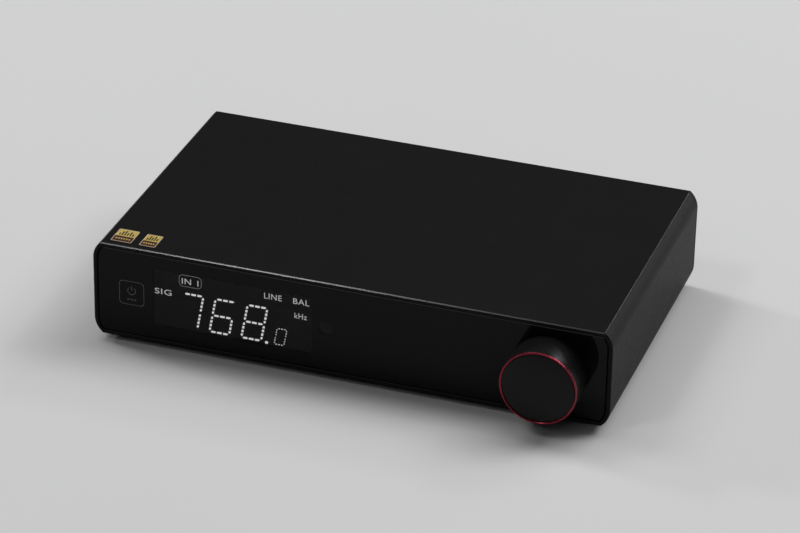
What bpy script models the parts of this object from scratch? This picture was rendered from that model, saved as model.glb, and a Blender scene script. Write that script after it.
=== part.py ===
"""A desktop digital-to-analogue converter: an extruded housing, a glass front with a display and a
turned knob, and a rear panel of sockets. Blender 4.5 script: blender --background --python part.py

Frame: +Z up, the front faces -Y, and the origin is on the table under the middle of the whole object.
Sizes below are in millimetres. The helpers turn them into Blender's metres."""

import math

import bpy
import bmesh
from mathutils import Matrix

MM = 0.001

# Driving dimensions
BODY_WIDTH = 250.0
BODY_DEPTH = 147.0
BODY_HEIGHT = 48.0
FOOT_HEIGHT = 3.0
KNOB_REACH = 17.5
SOCKET_REACH = 9.5
WALL = 2.2
CORNER_RADIUS = 11.0
CREASE_INSET = 4.0

# Small clearances
FACE_GAP = 0.1
EDGE_GAP = 0.3

# Planes of the housing
FRONT = KNOB_REACH - (KNOB_REACH + BODY_DEPTH + SOCKET_REACH) / 2
REAR = FRONT + BODY_DEPTH
MIDDLE = FOOT_HEIGHT + BODY_HEIGHT / 2
TOP = FOOT_HEIGHT + BODY_HEIGHT

# Housing section: each corner is an arc that meets the flat top or bottom in a crease
ARC_X = BODY_WIDTH / 2 - CORNER_RADIUS
ARC_Z = BODY_HEIGHT / 2 - math.sqrt(CORNER_RADIUS**2 - (CORNER_RADIUS - CREASE_INSET) ** 2)
ARC_STEPS = 8
RIM_WALL = 2.0
MOUTH_DEPTH = 6.3
CHANNEL_BLOCK_X = 111.5
CHANNEL_BLOCK_Z = 15.7
CHANNEL_X = 117.3
CHANNEL_Z = 18.6
CHANNEL_RADIUS = 1.45
RAIL_BOTTOM = -13.6
RAIL_TOP = -12.2
RAIL_REACH = 2.8

# Front stack, as depths behind the rim of the housing
GLASS_FRONT, GLASS_BACK = 0.2, 2.2
MASK_FRONT, MASK_BACK = 2.3, 2.6
FRAME_FRONT, FRAME_BACK = 2.7, 6.2
BOARD_FRONT, BOARD_BACK = 13.0, 14.6
BOARD_POST_X, BOARD_POST_Z = (-116.0, 40.0), 11.5
PEG_RADIUS, POST_RADIUS = 1.15, 1.8
DISPLAY_X, DISPLAY_WIDTH, DISPLAY_HEIGHT = -56.2, 78.6, 30.0
KEY_X, KEY_SIZE = -106.0, 14.0
IR_X, IR_RADIUS = -10.5, 3.5
KNOB_X, KNOB_RADIUS = 96.0, 18.1
SHAFT_RADIUS = 3.0
SHAFT_FLAT = 1.6
SHAFT_GAP = 0.1
SHAFT_REAR = 10.2
GLASS_HOLE_RADIUS = 7.0
KNOB_REAR = 0.9
PRESS_TRAVEL = 0.5

# Rear panel: where each socket sits along it, and the size of its hole
REAR_THICKNESS = 2.0
BALANCED_HOLE, PHONO_HOLE, TRIGGER_HOLE, ANTENNA_HOLE, SCREW_HOLE = 11.9, 5.9, 3.2, 3.3, 1.7
OPTICAL_HOLE = (10.3, 10.3)
USB_HOLE = (12.6, 11.4)
SWITCH_HOLE = (13.2, 19.2)
INLET_HOLE, INLET_HOLE_CORNER = (21.6, 14.6), 3.3
BALANCED_X = {"left": 76.0, "right": 104.0}
PHONO_X = {"left": 52.0, "right": 36.0, "coax": 18.0}
OPTICAL_X = 2.0
USB_X = -16.0
ANTENNA_X = -34.0
TRIGGER_X = {"in": -48.0, "out": -60.0}
SWITCH_X = -80.0
INLET_X = -103.0
INLET_PIN_SPACING = 8.6
INLET_LOBE_SPACING = 7.0
SWITCH_PIVOT_DEPTH = 1.0
SWITCH_TILT = 9.0
SHUTTER_DEPTH = 1.0
OPTICAL_CAVITY = 8.2

# Main board, resting on the lower channel blocks and held down by the rails
BOARD_TOP = MIDDLE - 13.8
BOARD_BOTTOM = MIDDLE - 15.4
BOARD_FRONT_EDGE = FRONT + 18.0
BOARD_REAR_EDGE = REAR - 2.6

FOOT_X, FOOT_Y = 104.0, 55.0

# Foil labels on the top: size, x, distance behind the front, width, depth
FOIL_LABELS = (("large", -112.6, 9.7, 10.2, 11.8), ("small", -99.6, 9.4, 8.0, 11.2))


def clear_scene():
    for obj in list(bpy.data.objects):
        bpy.data.objects.remove(obj)


def new_collection(name):
    collection = bpy.data.collections.new(name)
    bpy.context.scene.collection.children.link(collection)
    return collection


def material(name, colour, roughness, metallic=0.0):
    made = bpy.data.materials.new(name)
    made.use_nodes = True
    shader = made.node_tree.nodes["Principled BSDF"]
    shader.inputs["Base Color"].default_value = (*colour, 1.0)
    shader.inputs["Roughness"].default_value = roughness
    shader.inputs["Metallic"].default_value = metallic
    return made


clear_scene()
PARTS = new_collection("desktop_dac")
CUTTERS = new_collection("cutters")
BLACK_ALUMINIUM = material("black_aluminium", (0.012, 0.012, 0.013), 0.5, 0.6)
DARK_GLASS = material("dark_glass", (0.006, 0.006, 0.007), 0.08)
BLACK_PRINT = material("black_print", (0.004, 0.004, 0.004), 0.6)
BLACK_PLASTIC = material("black_plastic", (0.010, 0.010, 0.010), 0.45)
RED_ALUMINIUM = material("red_aluminium", (0.55, 0.02, 0.04), 0.3, 0.9)
RUBBER = material("rubber", (0.015, 0.015, 0.015), 0.8)
GOLD_FOIL = material("gold_foil", (0.80, 0.56, 0.22), 0.3, 0.9)
NICKEL = material("nickel", (0.62, 0.60, 0.57), 0.25, 1.0)
GOLD_PLATE = material("gold_plate", (0.83, 0.62, 0.28), 0.22, 1.0)
STEEL = material("steel", (0.50, 0.50, 0.52), 0.35, 1.0)
CIRCUIT_BOARD = material("circuit_board", (0.01, 0.06, 0.03), 0.45)
DISPLAY_BLACK = material("display_black", (0.02, 0.02, 0.02), 0.5)
WHITE_PLASTIC = material("white_plastic", (0.70, 0.70, 0.68), 0.4)
RED_PLASTIC = material("red_plastic", (0.50, 0.02, 0.02), 0.4)
ORANGE_PLASTIC = material("orange_plastic", (0.75, 0.25, 0.03), 0.4)
CHIP_EPOXY = material("chip_epoxy", (0.02, 0.02, 0.02), 0.55)
TRANSFORMER_TAPE = material("transformer_tape", (0.75, 0.55, 0.08), 0.5)
RIBBON_WHITE = material("ribbon_white", (0.75, 0.75, 0.72), 0.5)
LEAD_GREY = material("lead_grey", (0.12, 0.12, 0.12), 0.55)


# Outlines: lists of (across, up) points

def circle(centre_x, centre_z, radius, count=24):
    angles = [2 * math.pi * i / count for i in range(count)]
    return [(centre_x + radius * math.cos(a), centre_z + radius * math.sin(a)) for a in angles]


def rectangle(centre_x, centre_z, width, height, radius=0.0, steps=3):
    """A rectangle about a centre, with round corners where a radius is given."""
    if radius <= 0:
        half_w, half_h = width / 2, height / 2
        corners = [(half_w, -half_h), (half_w, half_h), (-half_w, half_h), (-half_w, -half_h)]
        return [(centre_x + x, centre_z + z) for x, z in corners]
    points = []
    for quarter, (side_x, side_z) in enumerate([(1, 1), (-1, 1), (-1, -1), (1, -1)]):
        corner_x = centre_x + side_x * (width / 2 - radius)
        corner_z = centre_z + side_z * (height / 2 - radius)
        for step in range(steps + 1):
            angle = math.pi / 2 * (quarter + step / steps)
            points.append((corner_x + radius * math.cos(angle), corner_z + radius * math.sin(angle)))
    return points


def hexagon(centre_x, centre_z, across_flats):
    """A nut's outline, with a corner at +X."""
    return circle(centre_x, centre_z, across_flats / math.sqrt(3), 6)


def d_shape(centre_x, centre_z, radius, flat_height, count=28):
    """A circle with a flat across its top."""
    half_angle = math.asin(flat_height / radius)
    sweep = math.pi + 2 * half_angle
    angles = [half_angle - sweep * i / count for i in range(count + 1)]
    return [(centre_x + radius * math.cos(a), centre_z + radius * math.sin(a)) for a in angles]


def figure_eight(centre_x, centre_z, spacing, radius, steps=10):
    """Two overlapping circles, as one outline."""
    open_angle = math.acos(min(1.0, spacing / 2 / radius))
    points = []
    for side in (0, math.pi):
        middle_x = centre_x + spacing / 2 * math.cos(side)
        for step in range(steps + 1):
            angle = side - (math.pi - open_angle) + 2 * (math.pi - open_angle) * step / steps
            points.append((middle_x + radius * math.cos(angle), centre_z + radius * math.sin(angle)))
    return points


def body_section(shrink=0.0, centre_z=MIDDLE):
    """The housing's outline, moved inwards by shrink."""
    radius = CORNER_RADIUS - shrink
    crease_angle = math.asin((BODY_HEIGHT / 2 - shrink - ARC_Z) / radius)
    angles = [crease_angle * step / ARC_STEPS for step in range(ARC_STEPS + 1)]
    corner = [(ARC_X + radius * math.cos(a), ARC_Z + radius * math.sin(a)) for a in angles]
    right = [(x, -z) for x, z in reversed(corner)] + corner
    left = [(-x, z) for x, z in reversed(right)]
    return [(x, centre_z + z) for x, z in right + left]


def cavity_section():
    """The inside of the extrusion: screw-channel blocks in the corners, and a board rail on each side."""
    half_height = BODY_HEIGHT / 2 - WALL
    wall_x = BODY_WIDTH / 2 - WALL
    rail_x = wall_x - RAIL_REACH
    right = [
        (CHANNEL_BLOCK_X, -half_height),
        (CHANNEL_BLOCK_X, -CHANNEL_BLOCK_Z),
        (wall_x, -CHANNEL_BLOCK_Z),
        (wall_x, RAIL_BOTTOM),
        (rail_x, RAIL_BOTTOM),
        (rail_x, RAIL_TOP),
        (wall_x, RAIL_TOP),
        (wall_x, CHANNEL_BLOCK_Z),
        (CHANNEL_BLOCK_X, CHANNEL_BLOCK_Z),
        (CHANNEL_BLOCK_X, half_height),
    ]
    left = [(-x, z) for x, z in reversed(right)]
    return [(x, MIDDLE + z) for x, z in right + left]


def channel_centres():
    return [(x, MIDDLE + z) for z in (CHANNEL_Z, -CHANNEL_Z) for x in (-CHANNEL_X, CHANNEL_X)]


# Solids

AXIS_ROTATION = {"X": (math.pi / 2, 0, math.pi / 2), "Y": (math.pi / 2, 0, 0), "Z": (0, 0, 0)}
FACING_ROTATION = {"FRONT": (math.pi / 2, 0, 0), "REAR": (-math.pi / 2, 0, 0), "UP": (0, 0, 0)}


def as_mesh(obj):
    """The same shape as a mesh with welded caps, shaded smooth between its sharp edges."""
    bpy.context.view_layer.update()
    graph = bpy.context.evaluated_depsgraph_get()
    mesh = bpy.data.meshes.new_from_object(obj.evaluated_get(graph))
    shape = bmesh.new()
    shape.from_mesh(mesh)
    bmesh.ops.remove_doubles(shape, verts=shape.verts, dist=0.000002)
    shape.to_mesh(mesh)
    shape.free()
    mesh.shade_smooth()
    mesh.set_sharp_from_angle(angle=math.radians(35))
    name, place = obj.name, obj.matrix_world.copy()
    bpy.data.objects.remove(obj)
    made = bpy.data.objects.new(name, mesh)
    PARTS.objects.link(made)
    made.matrix_world = place
    return made


def prism(name, finish, outlines, axis, low, high, chamfer=0.0):
    """Flat outlines given thickness along an axis. The first is the edge, and the rest are holes."""
    curve = bpy.data.curves.new(name, "CURVE")
    curve.dimensions = "2D"
    curve.fill_mode = "BOTH"
    curve.extrude = ((high - low) / 2 - chamfer) * MM
    curve.bevel_depth = chamfer * MM
    curve.bevel_resolution = 0
    curve.offset = -chamfer * MM
    for outline in outlines:
        spline = curve.splines.new("POLY")
        spline.points.add(len(outline) - 1)
        for point, (across, up) in zip(spline.points, outline):
            point.co = (across * MM, up * MM, 0.0, 1.0)
        spline.use_cyclic_u = True
        spline.use_smooth = False
    curve.materials.append(finish)
    obj = bpy.data.objects.new(name, curve)
    PARTS.objects.link(obj)
    obj.rotation_euler = AXIS_ROTATION[axis]
    obj.location["XYZ".index(axis)] = (low + high) / 2 * MM
    return as_mesh(obj)


def turned(name, finish, profile, centre, facing, segments=24):
    """A closed profile of (radius, height) points, turned about an axis through centre."""
    mesh = bpy.data.meshes.new(name)
    points = [(radius * MM, 0.0, height * MM) for radius, height in profile]
    on_axis = [i for i, (radius, _) in enumerate(profile) if radius == 0]
    edges = [(i, (i + 1) % len(points)) for i in range(len(points))]
    if on_axis:
        edges = [e for e in edges if not (e[0] in on_axis and e[1] in on_axis)]
    mesh.from_pydata(points, edges, [])
    mesh.materials.append(finish)
    obj = bpy.data.objects.new(name, mesh)
    PARTS.objects.link(obj)
    screw = obj.modifiers.new("turn", "SCREW")
    screw.steps = screw.render_steps = segments
    screw.use_merge_vertices = True
    screw.merge_threshold = 0.00001
    screw.use_smooth_shade = False
    obj.location = [value * MM for value in centre]
    obj.rotation_euler = FACING_ROTATION[facing]
    return as_mesh(obj)


def box(name, finish, low, high):
    """A box between two corners, scaled in its mesh so that its object keeps a scale of one."""
    mesh = bpy.data.meshes.new(name)
    shape = bmesh.new()
    bmesh.ops.create_cube(shape, size=1.0)
    size = [(b - a) * MM for a, b in zip(low, high)]
    bmesh.ops.scale(shape, vec=size, verts=shape.verts)
    shape.to_mesh(mesh)
    shape.free()
    mesh.materials.append(finish)
    obj = bpy.data.objects.new(name, mesh)
    PARTS.objects.link(obj)
    obj.location = [(a + b) / 2 * MM for a, b in zip(low, high)]
    return obj


def rod(name, finish, centre, radius, low, high, segments=16):
    """A cylinder along Y, between two depths, about a centre (x, z)."""
    mesh = bpy.data.meshes.new(name)
    shape = bmesh.new()
    size = {"radius1": radius * MM, "radius2": radius * MM, "depth": (high - low) * MM}
    bmesh.ops.create_cone(shape, cap_ends=True, segments=segments, **size)
    shape.to_mesh(mesh)
    shape.free()
    mesh.materials.append(finish)
    obj = bpy.data.objects.new(name, mesh)
    PARTS.objects.link(obj)
    obj.rotation_euler = AXIS_ROTATION["Y"]
    obj.location = (centre[0] * MM, (low + high) / 2 * MM, centre[1] * MM)
    bpy.context.view_layer.update()
    return obj


def round_edges(obj, width, segments=2):
    bevel = obj.modifiers.new("round", "BEVEL")
    bevel.width = width * MM
    bevel.segments = segments
    bevel.limit_method = "ANGLE"
    return obj


def combine(target, operation, helpers):
    """Adds a Boolean to target for each helper, and keeps the helpers out of the model."""
    for helper in helpers:
        boolean = target.modifiers.new("join" if operation == "UNION" else "cut", "BOOLEAN")
        boolean.operation = operation
        boolean.solver = "EXACT"
        boolean.object = helper
        PARTS.objects.unlink(helper)
        CUTTERS.objects.link(helper)
        helper.hide_render = True
        helper.display_type = "WIRE"
    return target


def hang_on(empty_name, centre, members):
    """Parents members to an empty on their joint's axis, where they already are."""
    empty = bpy.data.objects.new(empty_name, None)
    empty.empty_display_size = 0.01
    PARTS.objects.link(empty)
    empty.location = [value * MM for value in centre]
    for member in members:
        member.parent = empty
        member.matrix_parent_inverse = Matrix.Translation(empty.location).inverted()
    return empty


# The casing

def housing_sleeve():
    holes = [circle(x, z, CHANNEL_RADIUS, 12) for x, z in channel_centres()]
    sleeve_end = REAR - REAR_THICKNESS - FACE_GAP
    sections = [body_section(), cavity_section(), *holes]
    sleeve = prism("housing_sleeve", BLACK_ALUMINIUM, sections, "Y", FRONT, sleeve_end)
    low, high = FRONT - MOUTH_DEPTH, FRONT + MOUTH_DEPTH
    mouth = prism("mouth_cutter", BLACK_ALUMINIUM, [body_section(RIM_WALL)], "Y", low, high)
    return combine(sleeve, "DIFFERENCE", [mouth])


def front_panel():
    outlines = [body_section(RIM_WALL + EDGE_GAP), circle(KNOB_X, MIDDLE, GLASS_HOLE_RADIUS, 32)]
    low, high = FRONT + GLASS_FRONT, FRONT + GLASS_BACK
    return prism("front_panel", DARK_GLASS, outlines, "Y", low, high, chamfer=0.3)


def panel_mask():
    outlines = [
        body_section(RIM_WALL + 2 * EDGE_GAP),
        rectangle(DISPLAY_X, MIDDLE, DISPLAY_WIDTH, DISPLAY_HEIGHT),
        circle(IR_X, MIDDLE, IR_RADIUS),
        circle(KNOB_X, MIDDLE, GLASS_HOLE_RADIUS, 32),
    ]
    return prism("panel_mask", BLACK_PRINT, outlines, "Y", FRONT + MASK_FRONT, FRONT + MASK_BACK)


def front_frame():
    """The carrier that the glass is bonded to. Its pegs push into the front ends of the screw channels,
    and its posts hold the display board off its back."""
    outlines = [
        body_section(RIM_WALL + EDGE_GAP),
        rectangle(DISPLAY_X, MIDDLE, DISPLAY_WIDTH + 2.2, DISPLAY_HEIGHT + 2.2),
        rectangle(KEY_X, MIDDLE, KEY_SIZE + 1, KEY_SIZE + 1),
        circle(IR_X, MIDDLE, IR_RADIUS + 0.3, 20),
        circle(KNOB_X, MIDDLE, 3.8, 20),
    ]
    frame = prism("front_frame", BLACK_PLASTIC, outlines, "Y", FRONT + FRAME_FRONT, FRONT + FRAME_BACK)
    root = FRONT + FRAME_BACK - 1.5
    peg_end = FRONT + 11.5
    post_end = FRONT + BOARD_FRONT - FACE_GAP
    post_centres = [(x, MIDDLE + z) for x in BOARD_POST_X for z in (-BOARD_POST_Z, BOARD_POST_Z)]
    stems = []
    for i, centre in enumerate(channel_centres()):
        stems.append(rod(f"channel_peg_{i}", BLACK_PLASTIC, centre, PEG_RADIUS, root, peg_end, 12))
    for i, centre in enumerate(post_centres):
        stems.append(rod(f"board_post_{i}", BLACK_PLASTIC, centre, POST_RADIUS, root, post_end, 12))
    return combine(frame, "UNION", stems)


def rear_panel():
    holes = [circle(x, MIDDLE, BALANCED_HOLE, 32) for x in BALANCED_X.values()]
    holes += [circle(x, MIDDLE, PHONO_HOLE) for x in PHONO_X.values()]
    holes += [circle(x, MIDDLE, TRIGGER_HOLE, 20) for x in TRIGGER_X.values()]
    holes += [circle(x, z, SCREW_HOLE, 12) for x, z in channel_centres()]
    holes += [
        circle(ANTENNA_X, MIDDLE, ANTENNA_HOLE, 20),
        rectangle(OPTICAL_X, MIDDLE, *OPTICAL_HOLE),
        rectangle(USB_X, MIDDLE, *USB_HOLE),
        rectangle(SWITCH_X, MIDDLE, *SWITCH_HOLE),
        rectangle(INLET_X, MIDDLE, *INLET_HOLE, INLET_HOLE_CORNER),
    ]
    sections = [body_section(), *holes]
    return prism("rear_panel", BLACK_ALUMINIUM, sections, "Y", REAR - REAR_THICKNESS, REAR)


def rear_screws():
    profile = [(0, 1.7), (1.9, 1.7), (2.6, 1.1), (2.7, 0.15), (1.25, 0.15), (1.25, -9.0), (0, -9.0)]
    for i, (x, z) in enumerate(channel_centres(), 1):
        turned(f"rear_screw_{i}", STEEL, profile, (x, REAR, z), "REAR", 16)


def feet():
    height = FOOT_HEIGHT - FACE_GAP
    profile = [(0, height), (6.9, height), (7.2, height - 0.4), (6.6, 0.3), (6.2, 0), (0, 0)]
    for depth, y in (("front", -FOOT_Y), ("rear", FOOT_Y)):
        for side, x in (("left", -FOOT_X), ("right", FOOT_X)):
            turned(f"foot_{depth}_{side}", RUBBER, profile, (x, y, 0), "UP", 24)


def foil_labels():
    """Two foil labels near the front left corner of the top."""
    low, high = TOP + 0.05, TOP + 0.2
    for size, x, depth_behind_front, width, depth in FOIL_LABELS:
        outline = rectangle(x, FRONT + depth_behind_front, width, depth, 0.8)
        prism(f"foil_label_{size}", GOLD_FOIL, [outline], "Z", low, high)


# The knob and its encoder

def ahead(reach):
    """The depth of a point that stands out in front of the rim."""
    return FRONT - reach


def knob():
    centre = (KNOB_X, FRONT, MIDDLE)
    wall = KNOB_RADIUS - 1.5
    seat = KNOB_RADIUS - 1.1
    shell_profile = [
        (seat, KNOB_REACH - 0.9),
        (KNOB_RADIUS, KNOB_REACH - 0.9),
        (KNOB_RADIUS, KNOB_REAR + 0.4),
        (KNOB_RADIUS - 0.4, KNOB_REAR),
        (wall, KNOB_REAR),
        (wall, 13.0),
        (7.1, 13.0),
        (7.1, 14.5),
        (seat, 14.5),
    ]
    ring_profile = [
        (KNOB_RADIUS - 0.8, KNOB_REACH),
        (KNOB_RADIUS - 0.3, KNOB_REACH),
        (KNOB_RADIUS, KNOB_REACH - 0.3),
        (KNOB_RADIUS, KNOB_REACH - 0.8),
        (KNOB_RADIUS - 1.0, KNOB_REACH - 0.8),
        (KNOB_RADIUS - 1.0, KNOB_REACH - 0.2),
    ]
    face_radius = KNOB_RADIUS - 1.2
    face_profile = [
        (0, KNOB_REACH - 0.3),
        (face_radius - 0.3, KNOB_REACH - 0.3),
        (face_radius, KNOB_REACH - 0.6),
        (face_radius, 14.6),
        (0, 14.6),
    ]
    shell = turned("knob_shell", BLACK_ALUMINIUM, shell_profile, centre, "FRONT", 64)
    ring = turned("knob_ring", RED_ALUMINIUM, ring_profile, centre, "FRONT", 64)
    face = turned("knob_face", BLACK_ALUMINIUM, face_profile, centre, "FRONT", 64)
    hub_bore = d_shape(KNOB_X, MIDDLE, SHAFT_RADIUS + SHAFT_GAP, SHAFT_FLAT + SHAFT_GAP)
    hub_outlines = [circle(KNOB_X, MIDDLE, 6.9), hub_bore]
    hub = prism("knob_hub", BLACK_PLASTIC, hub_outlines, "Y", ahead(14.4), ahead(2.0))
    shaft_outline = d_shape(KNOB_X, MIDDLE, SHAFT_RADIUS, SHAFT_FLAT)
    shaft = prism("encoder_shaft", STEEL, [shaft_outline], "Y", ahead(12.0), FRONT + SHAFT_REAR)
    return hang_on("volume_press_axis", centre, [shell, ring, face, hub, shaft])


def encoder(press_axis):
    """The encoder's rotor turns with the knob's shaft, which slides through it onto the press switch."""
    centre = (KNOB_X, FRONT, MIDDLE)
    bore = SHAFT_RADIUS + SHAFT_GAP
    bushing_profile = [
        (bore, -1.0),
        (3.5, -1.0),
        (3.5, -6.3),
        (6.0, -6.3),
        (6.0, -7.3),
        (bore, -7.3),
    ]
    turned("encoder_bushing", NICKEL, bushing_profile, centre, "FRONT")
    nut_outlines = [hexagon(KNOB_X, MIDDLE, 10.0), circle(KNOB_X, MIDDLE, 3.65)]
    prism("encoder_nut", NICKEL, nut_outlines, "Y", FRONT + 0.6, FRONT + 2.6)
    housing_outlines = [rectangle(KNOB_X, MIDDLE, 12.6, 12.6, 1.0), circle(KNOB_X, MIDDLE, 5.2)]
    prism("encoder_housing", STEEL, housing_outlines, "Y", FRONT + 7.4, FRONT + 12.2)
    plunger = -(SHAFT_REAR + PRESS_TRAVEL + FACE_GAP)
    switch_profile = [(0, plunger), (1.5, plunger), (1.6, -12.3), (5.6, -12.3), (5.6, -12.9), (0, -12.9)]
    turned("press_switch", BLACK_PLASTIC, switch_profile, centre, "FRONT", 20)
    detents, steps = 20, 4
    rim = []
    for i in range(detents * steps):
        angle = 2 * math.pi * i / (detents * steps)
        radius = 4.5 + 0.2 * math.cos(detents * angle)
        rim.append((KNOB_X + radius * math.cos(angle), MIDDLE + radius * math.sin(angle)))
    rotor_outlines = [rim, d_shape(KNOB_X, MIDDLE, bore, SHAFT_FLAT + SHAFT_GAP)]
    rotor = prism("encoder_rotor", BLACK_PLASTIC, rotor_outlines, "Y", FRONT + 8.0, FRONT + 9.6)
    hang_on("volume_spin_axis", centre, [rotor, press_axis])


# Behind the glass

def display_electronics():
    post_end = FRONT + BOARD_FRONT - FACE_GAP
    module = rectangle(DISPLAY_X, MIDDLE, DISPLAY_WIDTH + 1.6, DISPLAY_HEIGHT + 1.6, 0.8)
    prism("display_module", DISPLAY_BLACK, [module], "Y", FRONT + FRAME_FRONT, post_end)
    board = rectangle(-3.0, MIDDLE, 232.0, 30.0, 1.5)
    prism("display_board", CIRCUIT_BOARD, [board], "Y", FRONT + BOARD_FRONT, FRONT + BOARD_BACK)
    pad_outline = rectangle(KEY_X, MIDDLE, KEY_SIZE, KEY_SIZE, 1.5)
    pad = prism("touch_sensor", GOLD_PLATE, [pad_outline], "Y", FRONT + FRAME_FRONT, FRONT + 3.7)
    post = rod("touch_post", GOLD_PLATE, (KEY_X, MIDDLE), 2.5, FRONT + 3.2, post_end)
    combine(pad, "UNION", [post])
    lens_radius = 2.6
    dome = [
        (lens_radius * math.sin(a), -5.6 + lens_radius * math.cos(a))
        for a in (math.pi / 2 * i / 5 for i in range(6))
    ]
    body = [(3.1, -5.6), (3.1, -12.9), (0, -12.9)]
    turned("ir_receiver", CHIP_EPOXY, dome + body, (IR_X, FRONT, MIDDLE), "FRONT", 20)


def display_ribbon():
    """The flat cable from the back of the display board down to the main board, of even thickness."""
    radius, thickness = 3.0, 0.3
    start_y, start_z = FRONT + BOARD_BACK + FACE_GAP, MIDDLE - 3.0
    end_z = BOARD_TOP + FACE_GAP
    turn_y = start_y + 2.0
    inner, outer = [], []
    for step in range(7):
        angle = math.pi / 2 * (1 - step / 6)
        across, up = math.cos(angle), math.sin(angle)
        inner.append((turn_y + (radius - thickness) * across, start_z - radius + (radius - thickness) * up))
        outer.append((turn_y + radius * across, start_z - radius + radius * up))
    inner = [(start_y, start_z - thickness), *inner]
    outer = [(start_y, start_z), *outer]
    foot_y = turn_y + radius
    inner.append((foot_y - thickness, end_z))
    outer.append((foot_y, end_z))
    prism("display_ribbon", RIBBON_WHITE, [outer + inner[::-1]], "X", -48.0, -32.0)


# On the main board

def main_electronics():
    middle_y = (BOARD_FRONT_EDGE + BOARD_REAR_EDGE) / 2
    depth = BOARD_REAR_EDGE - BOARD_FRONT_EDGE
    board = rectangle(0, middle_y, BODY_WIDTH - 2 * WALL - 0.8, depth, 1.0)
    prism("main_board", CIRCUIT_BOARD, [board], "Z", BOARD_BOTTOM, BOARD_TOP)
    base = BOARD_TOP + FACE_GAP
    blocks = (
        ("psu_transformer", TRANSFORMER_TAPE, -88.0, FRONT + 62.0, 24.0, 22.0, 19.0),
        ("dac_chip", CHIP_EPOXY, 62.0, FRONT + 74.0, 10.0, 10.0, 1.2),
        ("interface_chip", CHIP_EPOXY, -8.0, FRONT + 88.0, 12.0, 12.0, 1.4),
        ("wireless_module", NICKEL, -34.0, FRONT + 108.0, 14.0, 20.0, 2.6),
        ("output_relay", BLACK_PLASTIC, 86.0, FRONT + 100.0, 20.0, 10.0, 10.0),
    )
    for name, finish, x, y, width, length, height in blocks:
        low = (x - width / 2, y - length / 2, base)
        high = (x + width / 2, y + length / 2, base + height)
        round_edges(box(name, finish, low, high), min(0.5, height / 5))
    can = [(0, 22.0), (7.2, 22.0), (8.0, 21.2), (8.0, 3.4), (7.6, 2.9), (8.0, 2.4), (8.0, 0), (0, 0)]
    turned("bulk_capacitor", LEAD_GREY, can, (-60.0, FRONT + 62.0, base), "UP", 24)


def mains_lead():
    """The sleeved pair from the back of the inlet to the back of the switch."""
    route_y = REAR - 20.0
    ends = ((INLET_X, REAR - 14.6), (SWITCH_X, REAR - 12.6))
    curve = bpy.data.curves.new("mains_lead", "CURVE")
    curve.dimensions = "3D"
    curve.bevel_depth = 1.4 * MM
    curve.bevel_resolution = 2
    curve.use_fill_caps = True
    spline = curve.splines.new("POLY")
    steps = 16
    spline.points.add(steps)
    for i, point in enumerate(spline.points):
        share = i / steps
        swing = math.sin(math.pi * share)
        x = ends[0][0] + (ends[1][0] - ends[0][0]) * (share - math.sin(2 * math.pi * share) / (2 * math.pi))
        y = ends[0][1] + (ends[1][1] - ends[0][1]) * share + (route_y - ends[0][1]) * swing
        point.co = (x * MM, y * MM, MIDDLE * MM, 1.0)
    curve.materials.append(LEAD_GREY)
    lead = bpy.data.objects.new("mains_lead", curve)
    PARTS.objects.link(lead)
    return lead


# The rear sockets

def balanced_socket(side, x):
    """A three-pin output socket: a deep cup, and the insert that carries the pins."""
    centre = (x, REAR, MIDDLE)
    bore, floor = 8.3, -12.6
    cup_profile = [
        (bore, 1.0),
        (12.3, 1.0),
        (12.7, 0.6),
        (12.7, 0.15),
        (11.6, 0.15),
        (11.6, -15.5),
        (0, -15.5),
        (0, floor),
        (bore, floor),
    ]
    turned(f"balanced_{side}_socket", BLACK_PLASTIC, cup_profile, centre, "REAR", 32)
    disc_back = REAR + floor + FACE_GAP
    insert = rod(f"balanced_{side}_pins", GOLD_PLATE, (x, MIDDLE), 8.0, disc_back, disc_back + 1.0, 24)
    pin_circle, pin_radius = 3.6, 1.18
    pin_root, pin_tip = disc_back + 0.5, REAR - 1.6
    pins = []
    for i, degrees in enumerate((30, 150, 270)):
        angle = math.radians(degrees)
        pin_centre = (x + pin_circle * math.cos(angle), MIDDLE + pin_circle * math.sin(angle))
        pins.append(rod(f"pin_{side}_{i}", GOLD_PLATE, pin_centre, pin_radius, pin_root, pin_tip, 12))
    combine(insert, "UNION", pins)


def phono_socket(name, x, plastic):
    """A coaxial phono socket: a moulded body with a collar and core, and a plated barrel on the core."""
    centre = (x, REAR, MIDDLE)
    body_profile = [
        (1.6, 8.0),
        (3.3, 8.0),
        (3.3, -6.2),
        (4.3, -6.2),
        (4.3, 0.9),
        (5.4, 0.9),
        (5.7, 0.6),
        (5.7, -12.0),
        (0, -12.0),
        (0, -3.0),
        (1.6, -3.0),
    ]
    barrel_profile = [
        (3.45, SOCKET_REACH),
        (3.9, SOCKET_REACH),
        (4.15, SOCKET_REACH - 0.3),
        (4.15, -6.0),
        (3.45, -6.0),
    ]
    turned(f"phono_{name}_body", plastic, body_profile, centre, "REAR")
    turned(f"phono_{name}_barrel", GOLD_PLATE, barrel_profile, centre, "REAR")


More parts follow.
